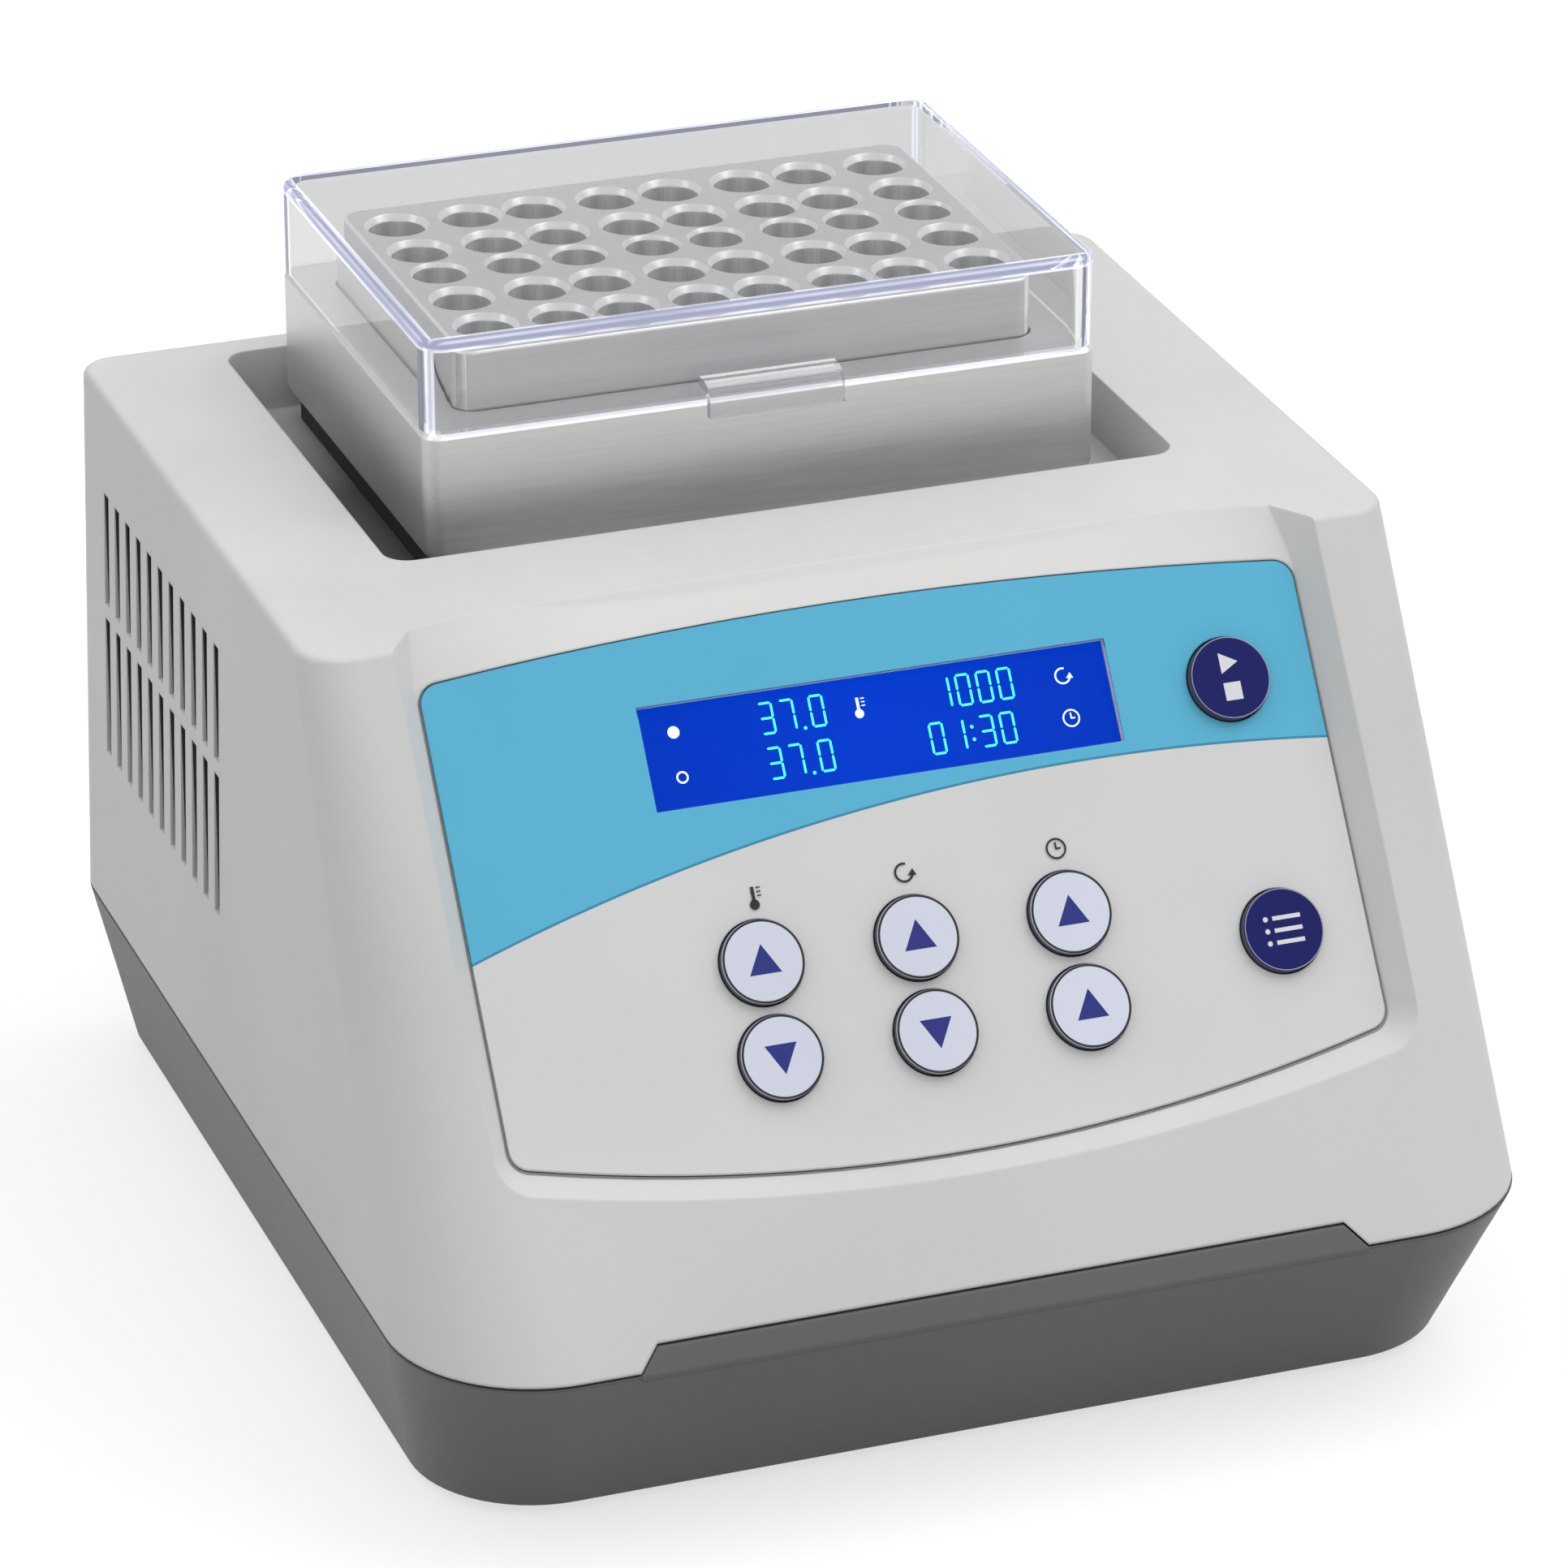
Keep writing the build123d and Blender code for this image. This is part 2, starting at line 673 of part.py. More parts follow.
with BuildPart() as heated_block:
    with BuildSketch(Plane.XY.offset(block_bottom)):
        with Locations((0, block_middle_y)):
            RectangleRounded(block_width, block_depth, block_corner_radius)
    extrude(amount=block_top - block_bottom)
    chamfer(heated_block.faces().sort_by(Axis.Z)[-1].edges(), block_chamfer)
    fillet(heated_block.faces().sort_by(Axis.Z)[0].edges(), block_bottom_edge)
    with BuildSketch(Plane.XY.offset(block_bottom + pocket_floor)):
        with Locations((0, block_middle_y)):
            RectangleRounded(
                tube_block_width + 2 * pocket_gap,
                tube_block_depth + 2 * pocket_gap,
                tube_block_radius + 2 * pocket_gap,
            )
    extrude(amount=block_top - block_bottom, mode=Mode.SUBTRACT)
    with BuildSketch(Plane.XZ.offset(-block_back_y)):
        with Locations((sensor_x, sensor_z)):
            Circle(sensor_radius + 0.1)
    extrude(amount=sensor_length + 0.5, mode=Mode.SUBTRACT)
    with BuildSketch(Plane.XY.offset(block_bottom)):
        with Locations(block_screw_places):
            Circle(screw_radius + 0.1)
    extrude(amount=pocket_floor - 1.2, mode=Mode.SUBTRACT)
write(heated_block, "heated_block")

with BuildPart() as temperature_sensor:
    with BuildSketch(Plane.XZ.offset(-block_back_y)):
        with Locations((sensor_x, sensor_z)):
            Circle(sensor_radius)
    extrude(amount=sensor_length)
write(temperature_sensor, "temperature_sensor")

with BuildPart() as block_screws:
    with BuildSketch(Plane.XY.offset(platform_bottom - screw_head_height)):
        with Locations(block_screw_places):
            Circle(screw_head_radius)
    extrude(amount=screw_head_height)
    with BuildSketch(Plane.XY.offset(platform_bottom)):
        with Locations(block_screw_places):
            Circle(screw_radius)
    extrude(amount=block_bottom + pocket_floor - 1.6 - platform_bottom)
write(block_screws, "block_screws")

# the tube block: wells in pairs of columns and five rows, the middle row for smaller tubes
column_places = [
    side * (column_gap_middle / 2 + reach)
    for side in (-1, 1)
    for reach in (
        0,
        column_gap_pair,
        column_gap_pair + column_gap_middle,
        2 * column_gap_pair + column_gap_middle,
    )
]
tube_block_bottom = block_bottom + pocket_floor
small_row = row_places[2]
with BuildPart() as well_cutter:
    with BuildSketch(Plane.XZ):
        with BuildLine():
            Polyline(
                (0, 1.0),
                (well_radius + well_rim, 1.0),
                (well_radius + well_rim, 0),
                (well_radius, -1.4 * well_rim),
                (well_radius, -well_straight),
                (well_tip_radius, -well_depth),
                (0, -well_depth),
                close=True,
            )
        make_face()
    revolve(axis=Axis.Z)
with BuildPart() as small_well_cutter:
    with BuildSketch(Plane.XZ):
        with BuildLine():
            Polyline(
                (0, 1.0),
                (small_well_radius + small_well_rim, 1.0),
                (small_well_radius + small_well_rim, 0),
                (small_well_radius, -1.4 * small_well_rim),
                (small_well_radius, -well_straight / 2),
                (well_tip_radius, -0.8 * well_depth),
                (0, -0.8 * well_depth),
                close=True,
            )
        make_face()
    revolve(axis=Axis.Z)
with BuildPart() as tube_block:
    with BuildSketch(Plane.XY.offset(tube_block_bottom)):
        with Locations((0, block_middle_y)):
            RectangleRounded(tube_block_width, tube_block_depth, tube_block_radius)
    extrude(amount=tube_block_top - tube_block_bottom)
    fillet(tube_block.faces().sort_by(Axis.Z)[-1].edges(), 0.8)
    for row in row_places:
        cutter = small_well_cutter if row == small_row else well_cutter
        with Locations([(x, block_middle_y + row, tube_block_top) for x in column_places]):
            add(cutter.part, mode=Mode.SUBTRACT)
write(tube_block, "tube_block")

# clear lid: an open box that stands on the heated block, with a finger tab in front
lid_height_top = lid_bottom + lid_height
with BuildPart() as lid:
    with BuildSketch(Plane.XY.offset(lid_bottom)):
        with Locations((0, block_middle_y)):
            RectangleRounded(block_width, block_depth, lid_corner_radius)
    extrude(amount=lid_height)
    fillet(lid.faces().sort_by(Axis.Z)[-1].edges(), lid_edge_radius)
    with BuildSketch(Plane.XY.offset(lid_bottom)):
        with Locations((0, block_middle_y)):
            RectangleRounded(
                block_width - 2 * lid_wall, block_depth - 2 * lid_wall, lid_corner_radius - lid_wall + 1.0
            )
    extrude(amount=lid_height - lid_top, mode=Mode.SUBTRACT)
    with BuildSketch(Plane.YZ):
        with BuildLine():
            rise_z = lid_bottom + tab_rise
            bend = tab_reach * 0.6
            Polyline(
                (lid_front_y + lid_wall / 2, rise_z),
                (lid_front_y - tab_reach + bend, rise_z),
            )
            RadiusArc(
                (lid_front_y - tab_reach + bend, rise_z),
                (lid_front_y - tab_reach, rise_z - bend),
                -bend,
            )
            Polyline(
                (lid_front_y - tab_reach, rise_z - bend),
                (lid_front_y - tab_reach, rise_z - tab_drop),
                (lid_front_y - tab_reach + tab_thickness, rise_z - tab_drop),
                (lid_front_y - tab_reach + tab_thickness, rise_z - bend),
            )
            RadiusArc(
                (lid_front_y - tab_reach + tab_thickness, rise_z - bend),
                (lid_front_y - tab_reach + bend, rise_z - tab_thickness),
                bend - tab_thickness,
            )
            Polyline(
                (lid_front_y - tab_reach + bend, rise_z - tab_thickness),
                (lid_front_y + lid_wall / 2, rise_z - tab_thickness),
                (lid_front_y + lid_wall / 2, rise_z),
            )
        make_face()
    extrude(amount=tab_width / 2, both=True)
write(lid, "lid")

# ---------------------------------------------------------------- platform
idler_places = [(x, block_middle_y + y) for x in (-idler_x, idler_x) for y in (-idler_y, idler_y)]
with BuildPart() as platform_plate:
    with BuildSketch(Plane.XY.offset(platform_bottom)):
        with Locations((0, block_middle_y)):
            RectangleRounded(platform_width, platform_depth, 8.0)
    extrude(amount=platform_thickness)
    with BuildSketch(Plane.XY.offset(platform_bottom - boss_height)):
        with Locations((orbit, block_middle_y)):
            Circle(boss_radius)
        with Locations([(x + orbit, y) for x, y in idler_places]):
            Circle(bush_radius + 3.0)
    extrude(amount=boss_height)
    with BuildSketch(Plane.XY.offset(platform_bottom - boss_height)):
        with Locations((orbit, block_middle_y)):
            Circle(crank_bearing_radius)
        with Locations([(x + orbit, y) for x, y in idler_places]):
            Circle(bush_radius)
    extrude(amount=boss_height, mode=Mode.SUBTRACT)
    with BuildSketch(Plane.XY.offset(platform_bottom)):
        with Locations(block_screw_places):
            Circle(screw_radius + 0.2)
    extrude(amount=platform_thickness, mode=Mode.SUBTRACT)
write(platform_plate, "platform_plate")

with BuildPart() as crank_bearing:
    with BuildSketch(Plane.XY.offset(platform_bottom - boss_height)):
        with Locations((orbit, block_middle_y)):
            Circle(crank_bearing_radius)
            Circle(pin_radius + running_gap, mode=Mode.SUBTRACT)
    extrude(amount=boss_height)
write(crank_bearing, "crank_bearing")

with BuildPart() as idler_bushes:
    with BuildSketch(Plane.XY.offset(platform_bottom - boss_height)):
        with Locations([(x + orbit, y) for x, y in idler_places]):
            Circle(bush_radius)
            Circle(idler_pin_radius + running_gap, mode=Mode.SUBTRACT)
    extrude(amount=boss_height)
write(idler_bushes, "idler_bushes")

# ---------------------------------------------------------------- crank
hub_top = chassis_top + hub_height
with BuildPart() as eccentric_shaft:
    with BuildSketch(Plane.XY.offset(chassis_top + 2.0)):
        with Locations((0, block_middle_y)):
            Circle(shaft_radius)
    extrude(amount=pin_bottom - 2.0 - chassis_top - 2.0)
    with BuildSketch(Plane.XY.offset(pin_bottom - 2.0)):
        with Locations((orbit, block_middle_y)):
            Circle(pin_radius)
    extrude(amount=boss_height + 2.0 - 0.5)
write(eccentric_shaft, "eccentric_shaft")

with BuildPart() as driven_pulley:
    with BuildSketch(Plane.XY.offset(pulley_bottom)):
        with Locations((0, block_middle_y)):
            Circle(pulley_radius)
    extrude(amount=pulley_width)
    for z in (pulley_bottom - pulley_flange, pulley_bottom + pulley_width):
        with BuildSketch(Plane.XY.offset(z)):
            with Locations((0, block_middle_y)):
                Circle(pulley_radius + belt_thickness + 1.0)
        extrude(amount=pulley_flange)
    with BuildSketch(Plane.XY.offset(pulley_bottom - pulley_flange)):
        with Locations((0, block_middle_y)):
            Circle(shaft_radius)
    extrude(amount=2 * pulley_width, mode=Mode.SUBTRACT)
write(driven_pulley, "driven_pulley")

counterweight_z = pulley_bottom + pulley_width + pulley_flange + 1.0
with BuildPart() as counterweight:
    with BuildSketch(Plane.XY.offset(counterweight_z)):
        with Locations((0, block_middle_y)):
            Circle(counterweight_radius)
        with Locations((counterweight_radius, block_middle_y)):
            Rectangle(2 * counterweight_radius, 2 * counterweight_radius, mode=Mode.SUBTRACT)
        with Locations((0, block_middle_y)):
            Circle(2 * shaft_radius)
            Circle(shaft_radius, mode=Mode.SUBTRACT)
    extrude(amount=counterweight_thickness)
write(counterweight, "counterweight")

# ---------------------------------------------------------------- chassis and drive
motor_height = hub_height
electronics_side = 15.0       # room left at the case's side, its front and behind, and by the motor
electronics_front = 50.0
electronics_back = 66.0
electronics_motor_gap = 4.0
supply_width = body_width / 2 - electronics_side - motor_radius - electronics_motor_gap
supply_depth = block_middle_y - electronics_back + body_depth / 2 - electronics_front
supply_size = (supply_width, supply_depth, 30.0)
supply_place = (
    -(motor_radius + electronics_motor_gap + supply_width / 2),
    block_middle_y - electronics_back - supply_depth / 2,
)
board_size = (supply_width - 4.0, supply_depth - 2.0)
board_place = (-supply_place[0], supply_place[1])
board_rise = 6.0
board_hole_x = board_size[0] - 8.0
board_hole_y = board_size[1] - 8.0
with BuildPart() as chassis_plate:
    with BuildSketch(Plane.XY.offset(chassis_bottom)):
        RectangleRounded(chassis_width, chassis_depth, 20.0)
        with Locations(case_screw_places):
            Circle(case_boss_radius + 1.0, mode=Mode.SUBTRACT)
            Rectangle(3 * case_boss_radius, 2 * case_boss_radius + 2.0, mode=Mode.SUBTRACT)
        with Locations(chassis_screw_places):
            Circle(screw_radius + 0.1, mode=Mode.SUBTRACT)
    extrude(amount=chassis_thickness)
write(chassis_plate, "chassis_plate")

chassis_screw_bite = 4.0
with BuildPart() as chassis_screws:
    with BuildSketch(Plane.XY.offset(chassis_top)):
        with Locations(chassis_screw_places):
            Circle(screw_head_radius)
    extrude(amount=screw_head_height)
    with BuildSketch(Plane.XY.offset(chassis_bottom - 2 * chassis_screw_bite)):
        with Locations(chassis_screw_places):
            Circle(screw_radius)
    extrude(amount=chassis_thickness + 2 * chassis_screw_bite)
write(chassis_screws, "chassis_screws")

with BuildPart() as bearing_hub:
    with BuildSketch(Plane.XY.offset(chassis_top)):
        with Locations((0, block_middle_y)):
            Circle(hub_flange_radius)
    extrude(amount=hub_flange_thickness)
    with BuildSketch(Plane.XY.offset(chassis_top)):
        with Locations((0, block_middle_y)):
            Circle(hub_radius)
    extrude(amount=hub_height)
    with BuildSketch(Plane.XY.offset(chassis_top)):
        with Locations((0, block_middle_y)):
            Circle(bearing_radius)
    extrude(amount=hub_height, mode=Mode.SUBTRACT)
write(bearing_hub, "bearing_hub")

with BuildPart() as main_bearings:
    for z in (chassis_top + 2.0, hub_top - bearing_width):
        with BuildSketch(Plane.XY.offset(z)):
            with Locations((0, block_middle_y)):
                Circle(bearing_radius)
                Circle(shaft_radius + running_gap, mode=Mode.SUBTRACT)
        extrude(amount=bearing_width)
write(main_bearings, "main_bearings")

with BuildPart() as motor_body:
    with BuildSketch(Plane.XY.offset(chassis_top)):
        with Locations((0, motor_middle_y)):
            Circle(motor_radius)
            Circle(motor_shaft_radius + running_gap, mode=Mode.SUBTRACT)
    extrude(amount=motor_height)
write(motor_body, "motor_body")

with BuildPart() as motor_shaft:
    with BuildSketch(Plane.XY.offset(chassis_top + 1.0)):
        with Locations((0, motor_middle_y)):
            Circle(motor_shaft_radius)
    extrude(amount=pulley_bottom + pulley_width + pulley_flange + 1.0 - chassis_top - 1.0)
write(motor_shaft, "motor_shaft")

with BuildPart() as motor_pulley:
    with BuildSketch(Plane.XY.offset(pulley_bottom)):
        with Locations((0, motor_middle_y)):
            Circle(motor_pulley_radius)
    extrude(amount=pulley_width)
    for z in (pulley_bottom - pulley_flange, pulley_bottom + pulley_width):
        with BuildSketch(Plane.XY.offset(z)):
            with Locations((0, motor_middle_y)):
                Circle(motor_pulley_radius + belt_thickness + 1.0)
        extrude(amount=pulley_flange)
    with BuildSketch(Plane.XY.offset(pulley_bottom - pulley_flange)):
        with Locations((0, motor_middle_y)):
            Circle(motor_shaft_radius)
    extrude(amount=2 * pulley_width, mode=Mode.SUBTRACT)
write(motor_pulley, "motor_pulley")

# belt: the strip between two hulls round both pulleys
def belt_loop(grow):
    """Outline round both pulleys: two circles and the quadrilateral between their tangents."""
    far = pulley_radius + grow
    near = motor_pulley_radius + grow
    reach = block_middle_y - motor_middle_y
    tilt = (far - near) / reach
    side = (1 - tilt ** 2) ** 0.5
    with BuildSketch(Plane.XY.offset(pulley_bottom + belt_gap)) as loop:
        with Locations((0, block_middle_y)):
            Circle(far)
        with Locations((0, motor_middle_y)):
            Circle(near)
        with BuildLine():
            Polyline(
                (far * side, block_middle_y + far * tilt),
                (near * side, motor_middle_y + near * tilt),
                (-near * side, motor_middle_y + near * tilt),
                (-far * side, block_middle_y + far * tilt),
                close=True,
            )
        make_face()
    return loop.sketch


with BuildPart() as drive_belt:
    extrude(belt_loop(belt_gap + belt_thickness), amount=pulley_width - 2 * belt_gap)
    extrude(belt_loop(belt_gap), amount=pulley_width - 2 * belt_gap, mode=Mode.SUBTRACT)
write(drive_belt, "drive_belt")

# idler posts: a stand on the chassis and a short crank in each
stand_height = 60.0
with BuildPart() as idler_stands:
    with BuildSketch(Plane.XY.offset(chassis_top)):
        with Locations(idler_places):
            Circle(idler_stand_radius)
            Circle(idler_radius + running_gap, mode=Mode.SUBTRACT)
    extrude(amount=stand_height)
write(idler_stands, "idler_stands")

for number, (x, y) in enumerate(idler_places, start=1):
    with BuildPart() as idler:
        with BuildSketch(Plane.XY.offset(chassis_top + 1.0)):
            with Locations((x, y)):
                Circle(idler_radius)
        extrude(amount=pin_bottom - 1.0 - chassis_top - 1.0)
        with BuildSketch(Plane.XY.offset(pin_bottom - 1.0)):
            with Locations((x + orbit, y)):
                Circle(idler_pin_radius)
        extrude(amount=boss_height + 0.5)
    write(idler, "idler_crank_" + str(number))

# ---------------------------------------------------------------- electronics
with BuildPart() as power_supply:
    with Locations((supply_place[0], supply_place[1], chassis_top)):
        Box(*supply_size, align=(Align.CENTER, Align.CENTER, Align.MIN))
write(power_supply, "power_supply")

with BuildPart() as board_standoffs:
    with BuildSketch(Plane.XY.offset(chassis_top)):
        with Locations(board_place):
            with GridLocations(board_hole_x, board_hole_y, 2, 2):
                Circle(pillar_radius)
    extrude(amount=board_rise)
write(board_standoffs, "board_standoffs")

with BuildPart() as main_board:
    with BuildSketch(Plane.XY.offset(chassis_top + board_rise)):
        with Locations(board_place):
            Rectangle(*board_size)
    extrude(amount=board_thickness)
write(main_board, "main_board")

fin_count = 6
fin_height = 14.0
sink_size = 30.0
sink_base = 3.0
fin_thickness = 1.6
fin_pitch = (sink_size - fin_thickness) / (fin_count - 1) - 0.1
with BuildPart() as heat_sink:
    with BuildSketch(Plane.XY.offset(chassis_top + board_rise + board_thickness)):
        with Locations(board_place):
            Rectangle(sink_size, sink_size)
    extrude(amount=sink_base)
    with BuildSketch(Plane.XY.offset(chassis_top + board_rise + board_thickness + sink_base)):
        with Locations(board_place):
            with GridLocations(fin_pitch, 1.0, fin_count, 1):
                Rectangle(fin_thickness, sink_size)
    extrude(amount=fin_height)
write(heat_sink, "heat_sink")

# ---------------------------------------------------------------- rear: fan, inlet and switch
fan_plane = rear_plane(fan_x, fan_z)
inlet_plane = rear_plane(inlet_x, inlet_z)
switch_plane = rear_plane(inlet_x, switch_z)
fan_inside = fan_plane.offset(-wall)
fan_pin_radius = 2.0
fan_rotor_height = 9.0
with BuildPart() as fan_frame:
    with BuildSketch(fan_inside.offset(-fan_thickness)):
        RectangleRounded(fan_size, fan_size, 4.0)
        Circle(fan_blade_radius + 1.5, mode=Mode.SUBTRACT)
    extrude(amount=fan_thickness)
    # motor carrier at the inner end
    with BuildSketch(fan_inside.offset(-fan_thickness)):
        Circle(fan_hub_radius)
        with PolarLocations((fan_hub_radius + fan_blade_radius) / 2 + 1.0, 4, 45.0):
            Rectangle(fan_blade_radius - fan_hub_radius + 4.0, 3.0)
    extrude(amount=2.5)
    with BuildSketch(fan_inside.offset(-fan_thickness)):
        Circle(fan_pin_radius)
    extrude(amount=fan_rotor_height)
write(fan_frame, "fan_frame")

fan_blade_chord = 12.0
fan_blade_thickness = 1.4
fan_blade_pitch = 38.0
fan_rotor_plane = fan_inside.offset(-fan_thickness + 3.0)
with BuildPart(fan_rotor_plane) as fan_rotor:
    with Locations((0, 0, fan_rotor_height / 2)):
        Cylinder(fan_hub_radius, fan_rotor_height)
        with PolarLocations((fan_hub_radius + fan_blade_radius) / 2 - 1.0, fan_blades):
            Box(
                fan_blade_radius - fan_hub_radius,
                fan_blade_chord,
                fan_blade_thickness,
                rotation=(fan_blade_pitch, 0, 0),
            )
    with BuildSketch(fan_rotor_plane):
        Circle(fan_pin_radius + running_gap)
    extrude(amount=fan_rotor_height - 2.5, mode=Mode.SUBTRACT)
write(fan_rotor, "fan_rotor")

inlet_flange = 3.0
with BuildPart() as power_inlet:
    with BuildSketch(inlet_plane):
        RectangleRounded(inlet_width + 2 * inlet_flange, inlet_height + 2 * inlet_flange, 2.0)
    extrude(amount=2.0)
    with BuildSketch(inlet_plane.offset(-inlet_depth)):
        RectangleRounded(inlet_width, inlet_height, 2.0)
    extrude(amount=inlet_depth)
    with BuildSketch(inlet_plane.offset(-inlet_depth + 3.0)):
        Rectangle(inlet_width - 4.0, inlet_height - 4.0)
    extrude(amount=inlet_depth, mode=Mode.SUBTRACT)
write(power_inlet, "power_inlet")

with BuildPart() as inlet_pins:
    with BuildSketch(inlet_plane.offset(-inlet_depth + 3.0)):
        with Locations((-7.0, -2.0), (0, 2.0), (7.0, -2.0)):
            Rectangle(2.0, 4.0)
    extrude(amount=inlet_depth - 9.0)
write(inlet_pins, "inlet_pins")

switch_rim = 1.6
rocker_axis_sink = 1.0
rocker_pin_radius = 0.6
rocker_pin_reach = switch_height / 2 - switch_rim / 2
rocker_middle = switch_plane.offset(-rocker_axis_sink)
rocker_turn_plane = Plane(rocker_middle.origin, x_dir=rocker_middle.x_dir, z_dir=rocker_middle.y_dir)
with BuildPart() as switch_bezel:
    with BuildSketch(switch_plane):
        RectangleRounded(switch_width + 2 * switch_rim, switch_height + 2 * switch_rim, 1.2)
    extrude(amount=1.6)
    with BuildSketch(switch_plane.offset(-16.0)):
        Rectangle(switch_width, switch_height)
    extrude(amount=16.0)
    with BuildSketch(switch_plane.offset(-8.0)):
        Rectangle(switch_width - 2 * switch_rim, switch_height - 2 * switch_rim)
    extrude(amount=12.0, mode=Mode.SUBTRACT)
    with BuildSketch(rocker_turn_plane):
        Circle(rocker_pin_radius + running_gap)
    extrude(amount=rocker_pin_reach + panel_gap, both=True, mode=Mode.SUBTRACT)
write(switch_bezel, "switch_bezel")

rocker_length = switch_width - 2 * switch_rim - 1.2
rocker_width = switch_height - 2 * switch_rim - 0.6
with BuildPart() as power_rocker:
    with BuildSketch(rocker_turn_plane):
        with BuildLine():
            Polyline(
                (-rocker_length / 2, -2.6),
                (-rocker_length / 2, 1.6),
                (-rocker_length / 4, 3.2),
                (0, 2.4),
                (rocker_length / 4, 3.2),
                (rocker_length / 2, 1.6),
                (rocker_length / 2, -2.6),
                close=True,
            )
        make_face()
    extrude(amount=rocker_width / 2, both=True)
    with BuildSketch(rocker_turn_plane):
        Circle(rocker_pin_radius)
    extrude(amount=rocker_pin_reach, both=True)
write(power_rocker, "power_rocker")
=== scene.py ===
# %% [markdown]
# # Dressing a bench thermal mixer
# The instrument warms and orbits a block of sample tubes. Its exact solids arrive as a packed
# frame, so this notebook only adds what makes them look real: plastics, printed film, machined
# aluminium, clear acrylic, small fasteners and light.

# %% Load the fixed frame
import json
import math

import bmesh
import bpy
from mathutils import Matrix, Vector


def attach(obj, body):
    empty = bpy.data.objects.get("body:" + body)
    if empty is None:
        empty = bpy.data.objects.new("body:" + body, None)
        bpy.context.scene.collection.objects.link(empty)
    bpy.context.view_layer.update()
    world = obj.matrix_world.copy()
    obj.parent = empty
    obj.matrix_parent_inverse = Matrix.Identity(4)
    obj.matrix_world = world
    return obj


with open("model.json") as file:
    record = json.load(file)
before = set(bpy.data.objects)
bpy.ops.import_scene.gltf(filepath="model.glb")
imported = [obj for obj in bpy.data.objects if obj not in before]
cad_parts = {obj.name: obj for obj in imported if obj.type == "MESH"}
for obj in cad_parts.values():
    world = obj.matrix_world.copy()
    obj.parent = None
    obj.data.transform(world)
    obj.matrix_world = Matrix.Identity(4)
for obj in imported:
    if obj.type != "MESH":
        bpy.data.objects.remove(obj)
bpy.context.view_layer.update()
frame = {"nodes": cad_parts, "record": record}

# %% [markdown]
# ## The sloped panel
# Nearly everything printed lies on the sloped front. A matrix that carries panel coordinates
# (x across, y up the slope, z out of it) into the room lets every mark be drawn flat, in
# millimetres, and laid in place at the end.

# %% Case sizes and panel frame
millimetre = 0.001
case_height, seam_height, seam_gap = 148.0, 36.0, 0.5
seam_half_width, side_run = 110.0, 3.0       # each side wall leans in by its run
seam_front, top_front = 121.0, 42.0          # the front, from the middle, at the seam and on top
seam_back, top_back = 121.0, 115.0           # the rear wall likewise
recess_depth = 5.0                           # the panel lies this deep in the sloped front
panel_half_height, panel_top_drop = 44.6, 8.4
window_up = 25.4                             # centre of the display above the panel's middle

slope = math.atan((seam_front - top_front) / (case_height - seam_height))    # from the vertical
panel_middle_z = case_height - panel_top_drop - panel_half_height * math.cos(slope)
panel_middle_y = (-top_front - (case_height - panel_middle_z) * math.tan(slope)
                  + recess_depth / math.cos(slope))
panel_to_room = (
    Matrix.Translation(Vector((0, panel_middle_y, panel_middle_z)) * millimetre)
    @ Matrix.Rotation(math.pi / 2 - slope, 4, "X")
    @ Matrix.Scale(millimetre, 4)
)
film_top = 0.5                # the printed film is half a millimetre thick
panel_normal = (0, -math.cos(slope), math.sin(slope))
print("panel slope from the vertical:", round(math.degrees(slope), 2))

# %% [markdown]
# ## Camera first
# A long lens, slightly above and to the left of the front, flattens the perspective in the way of
# a catalogue picture.

# %% Camera


def linked(name, data):
    """An object in the scene for some data."""
    made = bpy.data.objects.new(name, data)
    bpy.context.scene.collection.objects.link(made)
    return made


camera = linked("camera", bpy.data.cameras.new("camera"))
camera.location = (-0.4569, -1.2553, 0.7117)
camera.rotation_euler = (math.radians(65), 0, math.radians(-20))
camera.data.sensor_width = 36
camera.data.lens = 176.1
camera.data.clip_start = 0.1
camera.data.clip_end = 20
bpy.context.scene.camera = camera

# %% [markdown]
# ## Small helpers for node trees
# A material is a tree of nodes. These helpers add a node, feed its inputs with numbers or with
# other nodes' outputs, and return what comes out, so each recipe below reads in order.

# %% Node helpers


def feed(tree, socket, value):
    """Sets a socket to a plain value, or links it to another node's output."""
    if isinstance(value, bpy.types.NodeSocket):
        tree.links.new(value, socket)
    else:
        socket.default_value = value


def add_node(tree, kind, settings=None, inputs=None):
    """One node, with its settings and its inputs by name or number."""
    made = tree.nodes.new(kind)
    for name, value in (settings or {}).items():
        setattr(made, name, value)
    for key, value in (inputs or {}).items():
        feed(tree, made.inputs[key], value)
    return made


def calc(tree, operation, a, b=0.0, clamp=False):
    """A Math node's result."""
    settings = {"operation": operation, "use_clamp": clamp}
    return add_node(tree, "ShaderNodeMath", settings, {0: a, 1: b}).outputs[0]


def mix_colour(tree, share, a, b):
    settings = {"data_type": "RGBA"}
    return add_node(tree, "ShaderNodeMix", settings, {0: share, 6: a, 7: b}).outputs[2]


def mix_value(tree, share, a, b):
    settings = {"data_type": "FLOAT"}
    return add_node(tree, "ShaderNodeMix", settings, {0: share, 2: a, 3: b}).outputs[0]


def ramp(tree, value, low, high, at_low=0.0, at_high=1.0):
    """Stretches a value's range low..high to at_low..at_high, and holds it there outside."""
    inputs = {0: value, 1: low, 2: high, 3: at_low, 4: at_high}
    return add_node(tree, "ShaderNodeMapRange", {"clamp": True}, inputs).outputs[0]


def object_place(tree):
    return add_node(tree, "ShaderNodeTexCoord").outputs["Object"]


